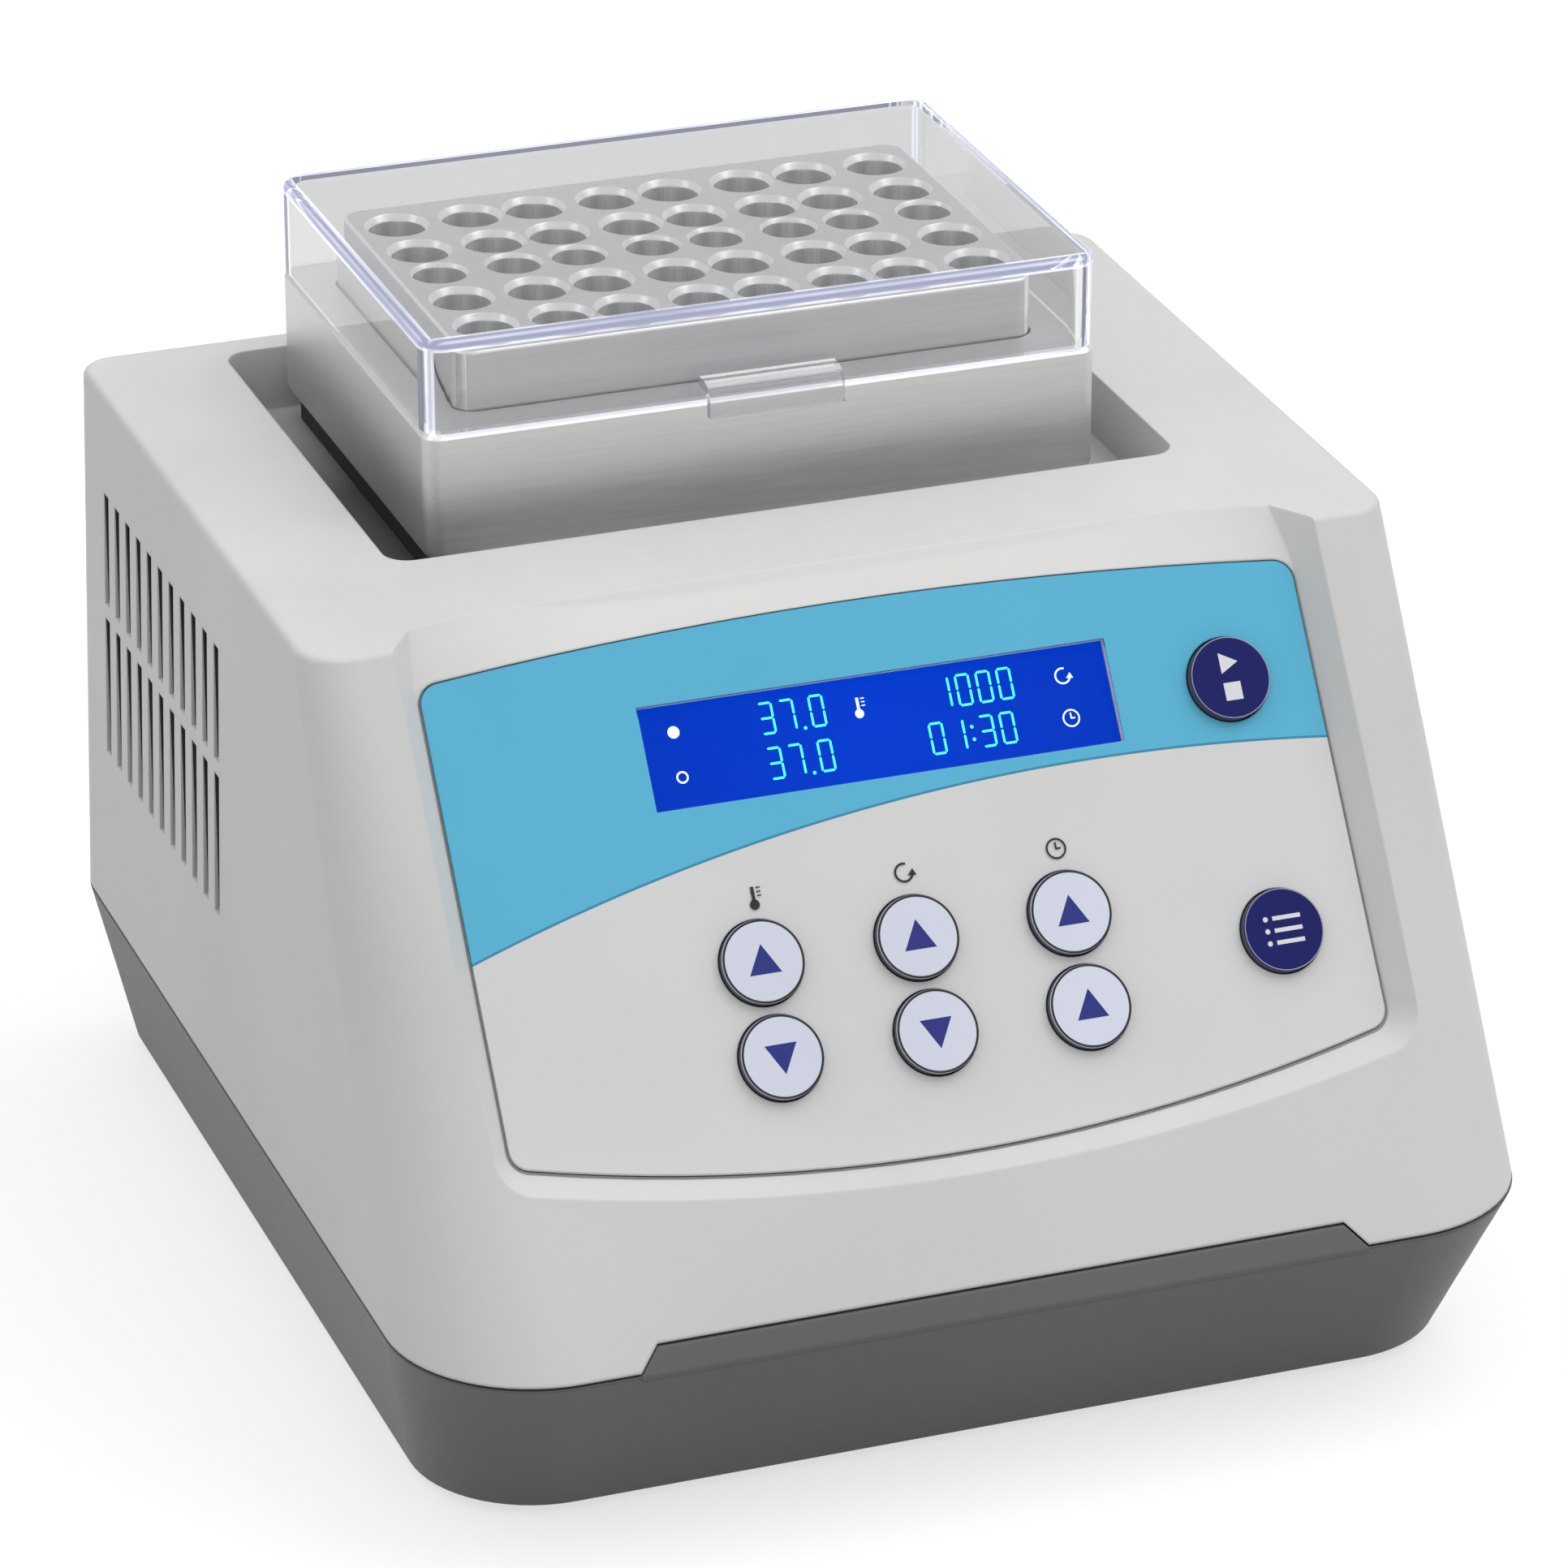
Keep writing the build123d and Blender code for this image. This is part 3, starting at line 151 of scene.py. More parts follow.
def axes(tree, vector):
    """The X, Y and Z of a vector, by name."""
    return add_node(tree, "ShaderNodeSeparateXYZ", {}, {0: vector}).outputs


def true_normal(tree):
    """Where the face itself points, before any bump."""
    return add_node(tree, "ShaderNodeNewGeometry").outputs["True Normal"]


def facing_panel(tree):
    """One where a face looks straight out of the sloped panel."""
    return add_node(tree, "ShaderNodeVectorMath", {"operation": "DOT_PRODUCT"},
                    {0: true_normal(tree), 1: panel_normal}).outputs["Value"]


def off_middle(tree, value, middle=0.0):
    """How far a coordinate is from a middle, either way."""
    return calc(tree, "ABSOLUTE", calc(tree, "SUBTRACT", value, middle))


def all_of(tree, first, *others):
    """Where every mask holds."""
    for mask in others:
        first = calc(tree, "MULTIPLY", first, mask)
    return first


def any_of(tree, first, *others):
    """Where at least one mask holds."""
    for mask in others:
        first = calc(tree, "MAXIMUM", first, mask)
    return first


def paint_over(tree, mask, colour):
    """Lays a colour over a finished material's base colour where a mask holds."""
    socket = tree.nodes["Principled BSDF"].inputs["Base Color"]
    feed(tree, socket, mix_colour(tree, mask, socket.links[0].from_socket, colour))


def new_group(name, inputs, outputs):
    """An empty shader group with named sockets. Inputs are numbers; each output has a type."""
    group = bpy.data.node_groups.new(name, "ShaderNodeTree")
    for label, value in inputs.items():
        made = group.interface.new_socket(name=label, in_out="INPUT", socket_type="NodeSocketFloat")
        made.default_value = value
    for label, kind in outputs.items():
        group.interface.new_socket(name=label, in_out="OUTPUT", socket_type="NodeSocket" + kind)
    return group, group.nodes.new("NodeGroupInput"), group.nodes.new("NodeGroupOutput")


def use_group(tree, group, **inputs):
    """Places a shared group in a material with its own values."""
    made = tree.nodes.new("ShaderNodeGroup")
    made.node_tree = group
    for name, value in inputs.items():
        feed(tree, made.inputs[name], value)
    return made.outputs


# %% [markdown]
# ## Shared effects
# Moulded plastic, milled metal and dust turn up on many pieces. Each effect is built once as a
# group. A group gives out only masks, heights and normals; the shader stays in the material.

# %% Group: moulded grain
# Spark-eroded moulds leave a fine pebbled skin, and large walls vary a little in tone.
grain_group, grain_in, grain_out = new_group(
    "moulded grain", {"Scale": 900.0, "Patch": 14.0}, {"Height": "Float", "Tone": "Float"})
grain_place = object_place(grain_group)
fine = add_node(grain_group, "ShaderNodeTexNoise", {}, {
    "Vector": grain_place, "Scale": grain_in.outputs["Scale"], "Detail": 3.0, "Roughness": 0.6})
patch = add_node(grain_group, "ShaderNodeTexNoise", {}, {
    "Vector": grain_place, "Scale": grain_in.outputs["Patch"], "Detail": 2.0})
feed(grain_group, grain_out.inputs["Height"], fine.outputs[0])
feed(grain_group, grain_out.inputs["Tone"], ramp(grain_group, patch.outputs[0], 0.35, 0.65))

# %% Group: soft edges
# No moulded or milled edge is sharp. The Bevel node rounds the shading across an edge, and the
# angle between that and the flat face gives a mask along the edge: a painted highlight on plastics,
# bright rubbed wear on metals.
edge_group, edge_in, edge_out = new_group(
    "soft edges", {"Radius": 0.0008}, {"Normal": "Vector", "Mask": "Float"})
rounded = add_node(edge_group, "ShaderNodeBevel", {"samples": 6},
                   {"Radius": edge_in.outputs["Radius"]})
flat = add_node(edge_group, "ShaderNodeNewGeometry")
aligned = add_node(edge_group, "ShaderNodeVectorMath", {"operation": "DOT_PRODUCT"},
                   {0: rounded.outputs[0], 1: flat.outputs["Normal"]})
feed(edge_group, edge_out.inputs["Normal"], rounded.outputs[0])
feed(edge_group, edge_out.inputs["Mask"],
     ramp(edge_group, aligned.outputs["Value"], 0.995, 0.86))

# %% Group: settled dust
# A bench instrument gathers a trace of dust on faces that look up, in uneven patches.
dust_group, dust_in, dust_out = new_group("settled dust", {"Amount": 0.3}, {"Mask": "Float"})
facing = axes(dust_group, add_node(dust_group, "ShaderNodeNewGeometry").outputs["Normal"])
drift = add_node(dust_group, "ShaderNodeTexNoise", {}, {
    "Vector": object_place(dust_group), "Scale": 60.0, "Detail": 4.0})
resting = all_of(dust_group, ramp(dust_group, facing["Z"], 0.6, 1.0),
                 ramp(dust_group, drift.outputs[0], 0.45, 0.75), dust_in.outputs["Amount"])
feed(dust_group, dust_out.inputs["Mask"], resting)

# %% Group: milling marks
# A fly cutter leaves fine parallel lines. Noise stretched along X gives them, broken up so that
# they never read as stripes.
milling_group, milling_in, milling_out = new_group(
    "milling marks", {"Along": 30.0, "Across": 2200.0}, {"Height": "Float", "Tone": "Float"})
stretch = add_node(milling_group, "ShaderNodeCombineXYZ", {}, {
    0: milling_in.outputs["Along"], 1: milling_in.outputs["Across"], 2: milling_in.outputs["Across"]})
stretched = add_node(milling_group, "ShaderNodeVectorMath", {"operation": "MULTIPLY"},
                     {0: object_place(milling_group), 1: stretch.outputs[0]})
lines = add_node(milling_group, "ShaderNodeTexNoise", {}, {
    "Vector": stretched.outputs[0], "Scale": 1.0, "Detail": 2.0})
feed(milling_group, milling_out.inputs["Height"], lines.outputs[0])
feed(milling_group, milling_out.inputs["Tone"], ramp(milling_group, lines.outputs[0], 0.3, 0.7))
print("shared groups:", [g.name for g in bpy.data.node_groups])

# %% [markdown]
# ## Material recipes
# Two recipes cover most pieces: a moulded plastic and a worked metal. Each mixes its colour from
# two close tones, lightens the edges (a painted highlight on plastic, rubbed wear on metal), varies the
# roughness and adds a bump.

# %% Recipes


def new_material(name):
    """A material with one Principled shader; returns it with its tree and shader."""
    material = bpy.data.materials.new(name)
    material.use_nodes = True
    return material, material.node_tree, material.node_tree.nodes["Principled BSDF"]


def bumped(tree, height, normal, strength, distance):
    inputs = {"Strength": strength, "Distance": distance, "Height": height, "Normal": normal}
    return add_node(tree, "ShaderNodeBump", {}, inputs).outputs[0]


def shade(colour, factor):
    return tuple(min(1.0, c * factor) for c in colour[:3]) + (1.0,)


def plastic(name, colour, roughness, grain=900.0, bump=0.15, edge=0.0008, edge_highlight=1.12, dust=0.0,
            tone=0.03, shadow=None):
    """Moulded plastic: fine grain, a slow drift of tone, softened edges with a painted highlight, and
    where asked a trace of dust and a painted shade over a mask."""
    material, tree, shader = new_material(name)
    skin = use_group(tree, grain_group, Scale=grain)
    edges = use_group(tree, edge_group, Radius=edge)
    base = mix_colour(tree, skin["Tone"], shade(colour, 1 - tone), shade(colour, 1 + tone))
    # Painted highlight: the edges are made lighter.
    base = mix_colour(tree, calc(tree, "MULTIPLY", edges["Mask"], 0.6), base, shade(colour, edge_highlight))
    if dust:
        settled = use_group(tree, dust_group, Amount=dust)
        base = mix_colour(tree, settled["Mask"], base, (0.55, 0.54, 0.52, 1.0))
    # Painted shade where a mask asks for it, such as deep in the tray.
    if shadow:
        base = mix_colour(tree, shadow(tree), base, shade(colour, 0.12))
    feed(tree, shader.inputs["Base Color"], base)
    feed(tree, shader.inputs["Roughness"],
         mix_value(tree, skin["Height"], roughness - 0.05, roughness + 0.08))
    feed(tree, shader.inputs["Normal"],
         bumped(tree, skin["Height"], edges["Normal"], bump, 0.0002))
    return material


def metal(name, colour, roughness, along=30.0, across=2200.0, bump=0.12):
    """Worked metal: cutter lines in tone and roughness, bright rubbed edges."""
    material, tree, shader = new_material(name)
    marks = use_group(tree, milling_group, Along=along, Across=across)
    edges = use_group(tree, edge_group, Radius=0.0005)
    base = mix_colour(tree, marks["Tone"], shade(colour, 0.96), shade(colour, 1.04))
    base = mix_colour(tree, edges["Mask"], base, shade(colour, 1.15))
    feed(tree, shader.inputs["Base Color"], base)
    feed(tree, shader.inputs["Metallic"], 1.0)
    feed(tree, shader.inputs["Roughness"],
         mix_value(tree, marks["Tone"], roughness - 0.04, roughness + 0.05))
    feed(tree, shader.inputs["Normal"],
         bumped(tree, marks["Height"], edges["Normal"], bump, 0.00005))
    return material


# %% [markdown]
# ## Case plastics, rubber, boards and metals
# The shell is a warm pale grey with a matt skin, and the base a slate grey. What is inside gets
# its own finish too, because the case can be opened.

# %% Make the plain finishes
# Places in a material are in metres, as object coordinates are.
tray_half_width, tray_half_length, tray_middle_y = 0.079, 0.0555, 0.052
tray_soft_edge = (0.0008, 0.0004)            # the gloom fades in over this, outside the tray
gloom_top, gloom_floor = 0.1465, 0.1365      # heights where it starts and is full


def tray_gloom(tree):
    """Deep in the tray little light arrives, least of all on the side away from the lamp."""
    place = axes(tree, object_place(tree))
    start, full = tray_soft_edge
    inside_x = ramp(tree, off_middle(tree, place["X"]), tray_half_width + start,
                    tray_half_width + full)
    inside_y = ramp(tree, off_middle(tree, place["Y"], tray_middle_y), tray_half_length + start,
                    tray_half_length + full)
    deep = all_of(tree, inside_x, inside_y, ramp(tree, place["Z"], gloom_top, gloom_floor))
    away = all_of(tree, ramp(tree, place["X"], -0.05, -0.066), ramp(tree, place["Y"], 0.106, 0.06))
    return all_of(tree, deep, mix_value(tree, away, 0.2, 0.93))


finishes = {
    "shell_plastic": plastic("pale shell plastic", (0.70, 0.70, 0.69), 0.48, dust=0.12,
                             shadow=tray_gloom),
    "base_plastic": plastic("slate base plastic", (0.118, 0.125, 0.130), 0.5, edge_highlight=1.3, tone=0.05),
    "switch_plastic": plastic("black switch plastic", (0.018, 0.018, 0.02), 0.38, edge_highlight=1.8),
    "circuit_board": plastic("green solder mask", (0.015, 0.14, 0.06), 0.32, grain=2500,
                             edge=0.0003),
    "rubber": plastic("black rubber", (0.022, 0.022, 0.023), 0.75, grain=1400, bump=0.3),
    "insulation": plastic("dark insulating foam board", (0.04, 0.04, 0.042), 0.7, grain=500, bump=0.4),
    "heater": plastic("amber heater film", (0.42, 0.17, 0.03), 0.3, grain=300, edge=0.0002),
    "navy_key": plastic("navy key plastic", (0.014, 0.017, 0.15), 0.45, grain=2600, bump=0.05,
                        edge=0.0004),
    "pale_key": plastic("pale key plastic", (0.76, 0.795, 0.93), 0.35, grain=2600, bump=0.05,
                        edge=0.0004),
    "cast_aluminium": metal("cast aluminium", (0.55, 0.55, 0.55), 0.5, along=600.0, across=700.0,
                            bump=0.4),
    "steel": metal("ground steel", (0.5, 0.5, 0.51), 0.3),
    "brass": metal("plated brass", (0.72, 0.55, 0.27), 0.28),
}

# Painted light: the step behind the brow's crest catches less light than the brow, so its colour
# is made paler there, so that the crest reads as one sweep.
crest_bottom, crest_half_width = 0.1445, 0.084
tree = finishes["shell_plastic"].node_tree
place = axes(tree, object_place(tree))
crest_painted_light = all_of(tree, calc(tree, "GREATER_THAN", facing_panel(tree), 0.995),
               calc(tree, "GREATER_THAN", place["Z"], crest_bottom),
               calc(tree, "LESS_THAN", off_middle(tree, place["X"]), crest_half_width))
paint_over(tree, crest_painted_light, (0.815, 0.815, 0.80, 1))

# The keys' side walls stand in the shade of the gap round them.
for name in ("pale_key", "navy_key"):
    tree = finishes[name].node_tree
    paint_over(tree, ramp(tree, facing_panel(tree), 0.5, 0.3), (0.10, 0.10, 0.13, 1))
navy_shader = finishes["navy_key"].node_tree.nodes["Principled BSDF"]
navy_shader.inputs["Specular IOR Level"].default_value = 0.12
print("plain finishes:", len(finishes))

# %% [markdown]
# ## Machined aluminium
# The blocks are milled, bead blasted and clear anodised: a satin face, and cut edges that shine
# where the countersinks and chamfers were turned afterwards. The cut faces are picked out by
# their slant, so the bright rims need no extra geometry.

# %% Machined aluminium
block_middle_y = 0.057
wells_half_width, wells_half_depth = 0.0578, 0.0367
bore_lean = 0.245                            # a bore's wall is no further from upright
first_reflection_band, reflection_band_rate = 0.6, 6.6         # where round the bore, and how often

aluminium, tree, shader = new_material("satin machined aluminium")
marks = use_group(tree, milling_group, Along=60.0, Across=1500.0)
edges = use_group(tree, edge_group, Radius=0.0006)
facing = axes(tree, true_normal(tree))
slant = facing["Z"]
cut = all_of(tree, ramp(tree, slant, 0.25, 0.4), ramp(tree, slant, 0.97, 0.9))
satin = mix_colour(tree, marks["Tone"], (0.66, 0.66, 0.655, 1), (0.72, 0.72, 0.715, 1))
satin = mix_colour(tree, cut, satin, (0.93, 0.93, 0.93, 1))
feed(tree, shader.inputs["Metallic"], 0.75)
place = axes(tree, object_place(tree))
bore = all_of(
    tree, calc(tree, "LESS_THAN", off_middle(tree, place["X"]), wells_half_width),
    calc(tree, "LESS_THAN", off_middle(tree, place["Y"], block_middle_y), wells_half_depth),
    calc(tree, "LESS_THAN", off_middle(tree, slant), bore_lean))
# Painted reflection: a reamed bore shows upright reflected streaks, and here they are painted into
# its colour, light and dark in turn round its wall by which way the wall faces.
turn = calc(tree, "MULTIPLY", calc(tree, "SUBTRACT", facing["X"], first_reflection_band), reflection_band_rate)
reflection_band = ramp(tree, calc(tree, "COSINE", turn), -1.0, 1.0)
bore_painted_reflection = mix_colour(tree, reflection_band, (0.48, 0.48, 0.475, 1), (1.0, 1.0, 0.99, 1))
feed(tree, shader.inputs["Base Color"], mix_colour(tree, bore, satin, bore_painted_reflection))
rough = mix_value(tree, cut, mix_value(tree, marks["Tone"], 0.36, 0.44), 0.28)
feed(tree, shader.inputs["Roughness"], mix_value(tree, bore, rough, 0.2))
feed(tree, shader.inputs["Normal"],
     bumped(tree, marks["Height"], edges["Normal"], 0.06, 0.00005))
finishes["machined_aluminium"] = aluminium

# %% [markdown]
# ## Clear acrylic and the display window
# Glass and acrylic bend light, so they keep a plain transmission. Lamps would cast a black shadow
# through them, so for shadow rays a transparent shader takes over.

# %% Clear materials


def clear(name, tint, ior, dress=None):
    """Clear solid: bends what is seen through it, and lets the lamps through."""
    material, tree, shader = new_material(name)
    feed(tree, shader.inputs["Base Color"], tint)
    feed(tree, shader.inputs["Roughness"], 0.0)
    feed(tree, shader.inputs["IOR"], ior)
    feed(tree, shader.inputs["Transmission Weight"], 1.0)
    if dress:
        dress(tree, shader, tint)
    open_to_lamps = add_node(tree, "ShaderNodeBsdfTransparent", {}, {0: tint})
    path = add_node(tree, "ShaderNodeLightPath")
    either = add_node(tree, "ShaderNodeMixShader", {}, {
        0: path.outputs["Is Shadow Ray"], 1: shader.outputs[0], 2: open_to_lamps.outputs[0]})
    surface = next(n for n in tree.nodes if n.type == "OUTPUT_MATERIAL").inputs["Surface"]
    feed(tree, surface, either.outputs[0])
    return material


lid_half_width, lid_half_depth, lid_top = 0.0675, 0.0475, 0.1852
lid_wall, lid_roof = 0.0022, 0.0024
trapped_depth = 6                            # bounces after which a ray counts as trapped


def painted_edge_light(tree, shader, tint):
    """Painted light: where one plate meets the next, light that ran along inside it would come out,
    and an emission paints it. How deep a point lies in the second nearest plate is above zero only
    there, and draws a lavender band with a bright line on either side. A ray that stays trapped in a
    plate is painted lavender, not black."""
    place = axes(tree, object_place(tree))
    in_side = calc(tree, "SUBTRACT", off_middle(tree, place["X"]), lid_half_width - lid_wall)
    in_front = calc(tree, "SUBTRACT", off_middle(tree, place["Y"], block_middle_y),
                    lid_half_depth - lid_wall)
    in_roof = calc(tree, "SUBTRACT", place["Z"], lid_top - lid_roof)
    total = calc(tree, "ADD", in_side, calc(tree, "ADD", in_front, in_roof))
    most = any_of(tree, in_side, in_front, in_roof)
    least = calc(tree, "MINIMUM", in_side, calc(tree, "MINIMUM", in_front, in_roof))
    second = calc(tree, "SUBTRACT", calc(tree, "SUBTRACT", total, most), least)
    band = ramp(tree, second, 0.00005, 0.0002)
    outer_line = ramp(tree, second, 0.0005, 0.0009, 1.0, 0.0)
    inner_line = ramp(tree, second, 0.0015, 0.0019)
    patches = add_node(tree, "ShaderNodeTexNoise", {}, {"Vector": object_place(tree), "Scale": 45.0})
    bright = all_of(tree, band, any_of(tree, outer_line, inner_line),
                    ramp(tree, patches.outputs[0], 0.3, 0.7, 0.35, 1.0))
    feed(tree, shader.inputs["Base Color"], mix_colour(tree, band, tint, (0.50, 0.52, 0.60, 1)))
    glow = mix_colour(tree, bright, (0.19, 0.20, 0.28, 1), (0.62, 0.64, 0.70, 1))
    depth = add_node(tree, "ShaderNodeLightPath").outputs["Ray Depth"]
    trapped = all_of(tree, calc(tree, "GREATER_THAN", depth, trapped_depth - 0.5),
                     calc(tree, "LESS_THAN", depth, trapped_depth + 0.5))
    trapped_painted_glow = mix_colour(tree, trapped, (0, 0, 0, 1), (0.26, 0.27, 0.35, 1))
    feed(tree, shader.inputs["Emission Color"], mix_colour(tree, band, trapped_painted_glow, glow))
    feed(tree, shader.inputs["Emission Strength"], 1.0)


finishes["clear_lid"] = clear("clear acrylic", (0.79, 0.79, 0.795, 1), 1.35, painted_edge_light)
finishes["clear_window"] = clear("display window", (0.96, 0.97, 1.0, 1), 1.03)

# %% [markdown]
# ## The printed film
# The front film is screen printed: sky blue above a sweeping arc, pale grey below, with a thin
# darker line where the inks meet. The arc is a circle in panel coordinates, so a Mapping node
# turns object coordinates into the panel's own, and the distance from the circle's centre picks
# the ink.

# %% Printed film
arc_radius = 0.405
arc_centre = (0.040, -0.392)
arc_line = 0.0004                            # width of the line where the inks meet
keys_reach = 0.0775                          # no key lies past these, sideways, up and down
keys_top, keys_bottom = 0.0335, -0.0415


def panel_place(tree):
    """Object coordinates turned and moved into the panel's own, in metres."""
    lay_flat = slope - math.pi / 2
    middle = Vector((0, panel_middle_y, panel_middle_z)) * millimetre
    return add_node(tree, "ShaderNodeMapping", {"vector_type": "POINT"}, {
        "Vector": object_place(tree), "Rotation": (lay_flat, 0, 0),
        "Location": -(Matrix.Rotation(lay_flat, 3, "X") @ middle)}).outputs[0]


film, tree, shader = new_material("printed panel film")
place = panel_place(tree)
flat_place = add_node(tree, "ShaderNodeVectorMath", {"operation": "MULTIPLY"}, {0: place, 1: (1, 1, 0)})
from_centre = add_node(tree, "ShaderNodeVectorMath", {"operation": "DISTANCE"},
                       {0: flat_place.outputs[0], 1: (*arc_centre, 0)}).outputs["Value"]
above = ramp(tree, from_centre, arc_radius - 0.00005, arc_radius + 0.00005)
line = calc(tree, "SUBTRACT", above,
            ramp(tree, from_centre, arc_radius + arc_line, arc_radius + arc_line + 0.0001))
skin = use_group(tree, grain_group, Scale=3000.0, Patch=30.0)
grey = mix_colour(tree, skin["Tone"], (0.76, 0.76, 0.76, 1), (0.78, 0.78, 0.78, 1))
blue = mix_colour(tree, skin["Tone"], (0.116, 0.525, 0.765, 1), (0.122, 0.54, 0.785, 1))
inks = mix_colour(tree, above, grey, blue)
printed = mix_colour(tree, line, inks, (0.05, 0.30, 0.46, 1))
# A shadow gathers in the gap round the film, but not round the keys, which have their own rings.
soft = use_group(tree, edge_group, Radius=0.0004)
across = axes(tree, place)
outer = any_of(tree, calc(tree, "GREATER_THAN", off_middle(tree, across["X"]), keys_reach),
               calc(tree, "GREATER_THAN", across["Y"], keys_top),
               calc(tree, "LESS_THAN", across["Y"], keys_bottom))
rim = all_of(tree, outer, soft["Mask"])
feed(tree, shader.inputs["Base Color"], mix_colour(tree, rim, printed, (0.01, 0.015, 0.02, 1)))
feed(tree, shader.inputs["Specular IOR Level"], 0.25)
feed(tree, shader.inputs["Roughness"], mix_value(tree, skin["Height"], 0.38, 0.46))
feed(tree, shader.inputs["Normal"], bumped(tree, skin["Height"], soft["Normal"], 0.04, 0.0001))
finishes["overlay_film"] = film

# %% [markdown]
# ## The lit display
# Behind its window the display glows a deep blue. It is an emission that is slightly stronger in
# the middle, because the lamp behind it is, so the digits seem to float in light.

# %% Lit display
lit, tree, shader = new_material("lit blue display")
place = panel_place(tree)
from_middle = add_node(tree, "ShaderNodeVectorMath", {"operation": "DISTANCE"},
                       {0: place, 1: (0, window_up * millimetre, 0)}).outputs["Value"]
glow = ramp(tree, from_middle, 0.0, 0.055, 1.0, 0.8)
fleck = use_group(tree, grain_group, Scale=4000.0, Patch=40.0)
feed(tree, shader.inputs["Base Color"], (0.0, 0.002, 0.02, 1))
feed(tree, shader.inputs["Specular IOR Level"], 0.05)
flecked = all_of(tree, glow, ramp(tree, fleck["Height"], 0.0, 1.0, 0.96, 1.04))
feed(tree, shader.inputs["Emission Color"],
     mix_colour(tree, flecked, (0.0, 0.0, 0.0, 1), (0.0, 0.045, 0.62, 1)))
feed(tree, shader.inputs["Emission Strength"], 1.0)
feed(tree, shader.inputs["Roughness"], 0.6)
finishes["display"] = lit

# %% Inks and lit segments


def ink(name, colour, glow=0.0):
    """Printed ink: flat colour broken by the grain of the screen it was pressed through."""
    material, tree, shader = new_material(name)
    skin = use_group(tree, grain_group, Scale=5000.0, Patch=200.0)
    base = mix_colour(tree, skin["Height"], shade(colour, 0.94), shade(colour, 1.06))
    feed(tree, shader.inputs["Base Color"], base)
    feed(tree, shader.inputs["Roughness"], mix_value(tree, skin["Height"], 0.40, 0.50))
    if glow:
        feed(tree, shader.inputs["Emission Color"], base)
        feed(tree, shader.inputs["Emission Strength"], glow)
    return material


black_ink = ink("black ink", (0.012, 0.012, 0.015))
navy_ink = ink("navy ink", (0.008, 0.018, 0.24))
white_ink = ink("white ink", (0.82, 0.83, 0.88))
ring_ink = ink("pale ring ink", (0.35, 0.37, 0.52))
segment_light = ink("lit cyan segments", (0.045, 0.72, 0.80), glow=0.85)
unit_light = ink("lit pale symbols", (0.50, 0.60, 0.95), glow=0.8)

# %% [markdown]
# ## Dress the CAD nodes
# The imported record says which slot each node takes, so one loop gives every node its finish.

# %% Assign finishes
slot_of = {part["node"]: part["material_slot"] for part in frame["record"]["subparts"]}
for name, solid in frame["nodes"].items():
    finish = finishes.get(slot_of.get(name), finishes["switch_plastic"])
    for holder in solid.material_slots:
        holder.material = finish
    if not solid.material_slots:
        solid.data.materials.append(finish)
print("nodes without a slot:", [n for n in frame["nodes"] if slot_of.get(n) not in finishes])

# %% [markdown]
# ## Drawing flat marks
# Print and display segments are very thin prisms. Outlines are drawn in millimetres on the panel,
# raised a few hundredths, and carried into the room together.

# %% Prism helpers


def prism(mesh, outline, low, high):
    """Closed prism between two heights, from an outline drawn anticlockwise."""
    bottom = [mesh.verts.new((x, y, low)) for x, y in outline]
    top = [mesh.verts.new((x, y, high)) for x, y in outline]
    mesh.faces.new(top)
    mesh.faces.new(bottom[::-1])
    for i in range(len(outline)):
        j = (i + 1) % len(outline)
        mesh.faces.new((bottom[i], bottom[j], top[j], top[i]))


def around(x, y, radius, angles):
    """Points on a circle, at angles in radians."""
    return [(x + radius * math.cos(a), y + radius * math.sin(a)) for a in angles]


def disc(x, y, radius, steps=32):
    return around(x, y, radius, [2 * math.pi * k / steps for k in range(steps)])


def bar(x0, y0, x1, y1, width):
    """Outline of a straight stroke from one point to another."""
    along = Vector((x1 - x0, y1 - y0)).normalized() * width / 2
    across = Vector((-along.y, along.x))
    return [(x0 - across.x, y0 - across.y), (x1 - across.x, y1 - across.y),
            (x1 + across.x, y1 + across.y), (x0 + across.x, y0 + across.y)]


def arc_stroke(mesh, x, y, radius, width, start, end, low, high, steps=40):
    """A curved stroke with closed ends, or a whole ring; angles in degrees anticlockwise."""
    angles = [math.radians(start + (end - start) * k / steps) for k in range(steps + 1)]
    outer = around(x, y, radius + width / 2, angles)
    inner = around(x, y, radius - width / 2, angles)
    whole = abs(end - start) >= 360
    rows = []
    for k in range(steps if whole else steps + 1):
        rows.append([mesh.verts.new((*inner[k], low)), mesh.verts.new((*outer[k], low)),
                     mesh.verts.new((*outer[k], high)), mesh.verts.new((*inner[k], high))])
    joined = rows + rows[:1] if whole else rows
    for a, b in zip(joined, joined[1:]):
        for i in range(4):
            j = (i + 1) % 4
            mesh.faces.new((a[i], a[j], b[j], b[i]))
    if not whole:
        mesh.faces.new(rows[0][::-1])
        mesh.faces.new(rows[-1])


def settled(mesh, name):
    """Turns a drawn mesh into mesh data."""
    data = bpy.data.meshes.new(name)
    mesh.to_mesh(data)
    mesh.free()
    return data


def finish_marks(mesh, name, body, materials):
    """Turns drawn marks into a piece on a body, laid on the panel."""
    bmesh.ops.recalc_face_normals(mesh, faces=mesh.faces)
    mesh.transform(panel_to_room)
    data = settled(mesh, name)
    for material in materials:
        data.materials.append(material)
    piece = linked(name, data)
    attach(piece, body)
    return piece


# %% [markdown]
# ## Seven-segment digits
# Each digit is seven small bars with pointed ends, switched on or off by a table of segments,
# exactly as the real display drives them. Set and measured temperature are on the left, speed and
# remaining time on the right.

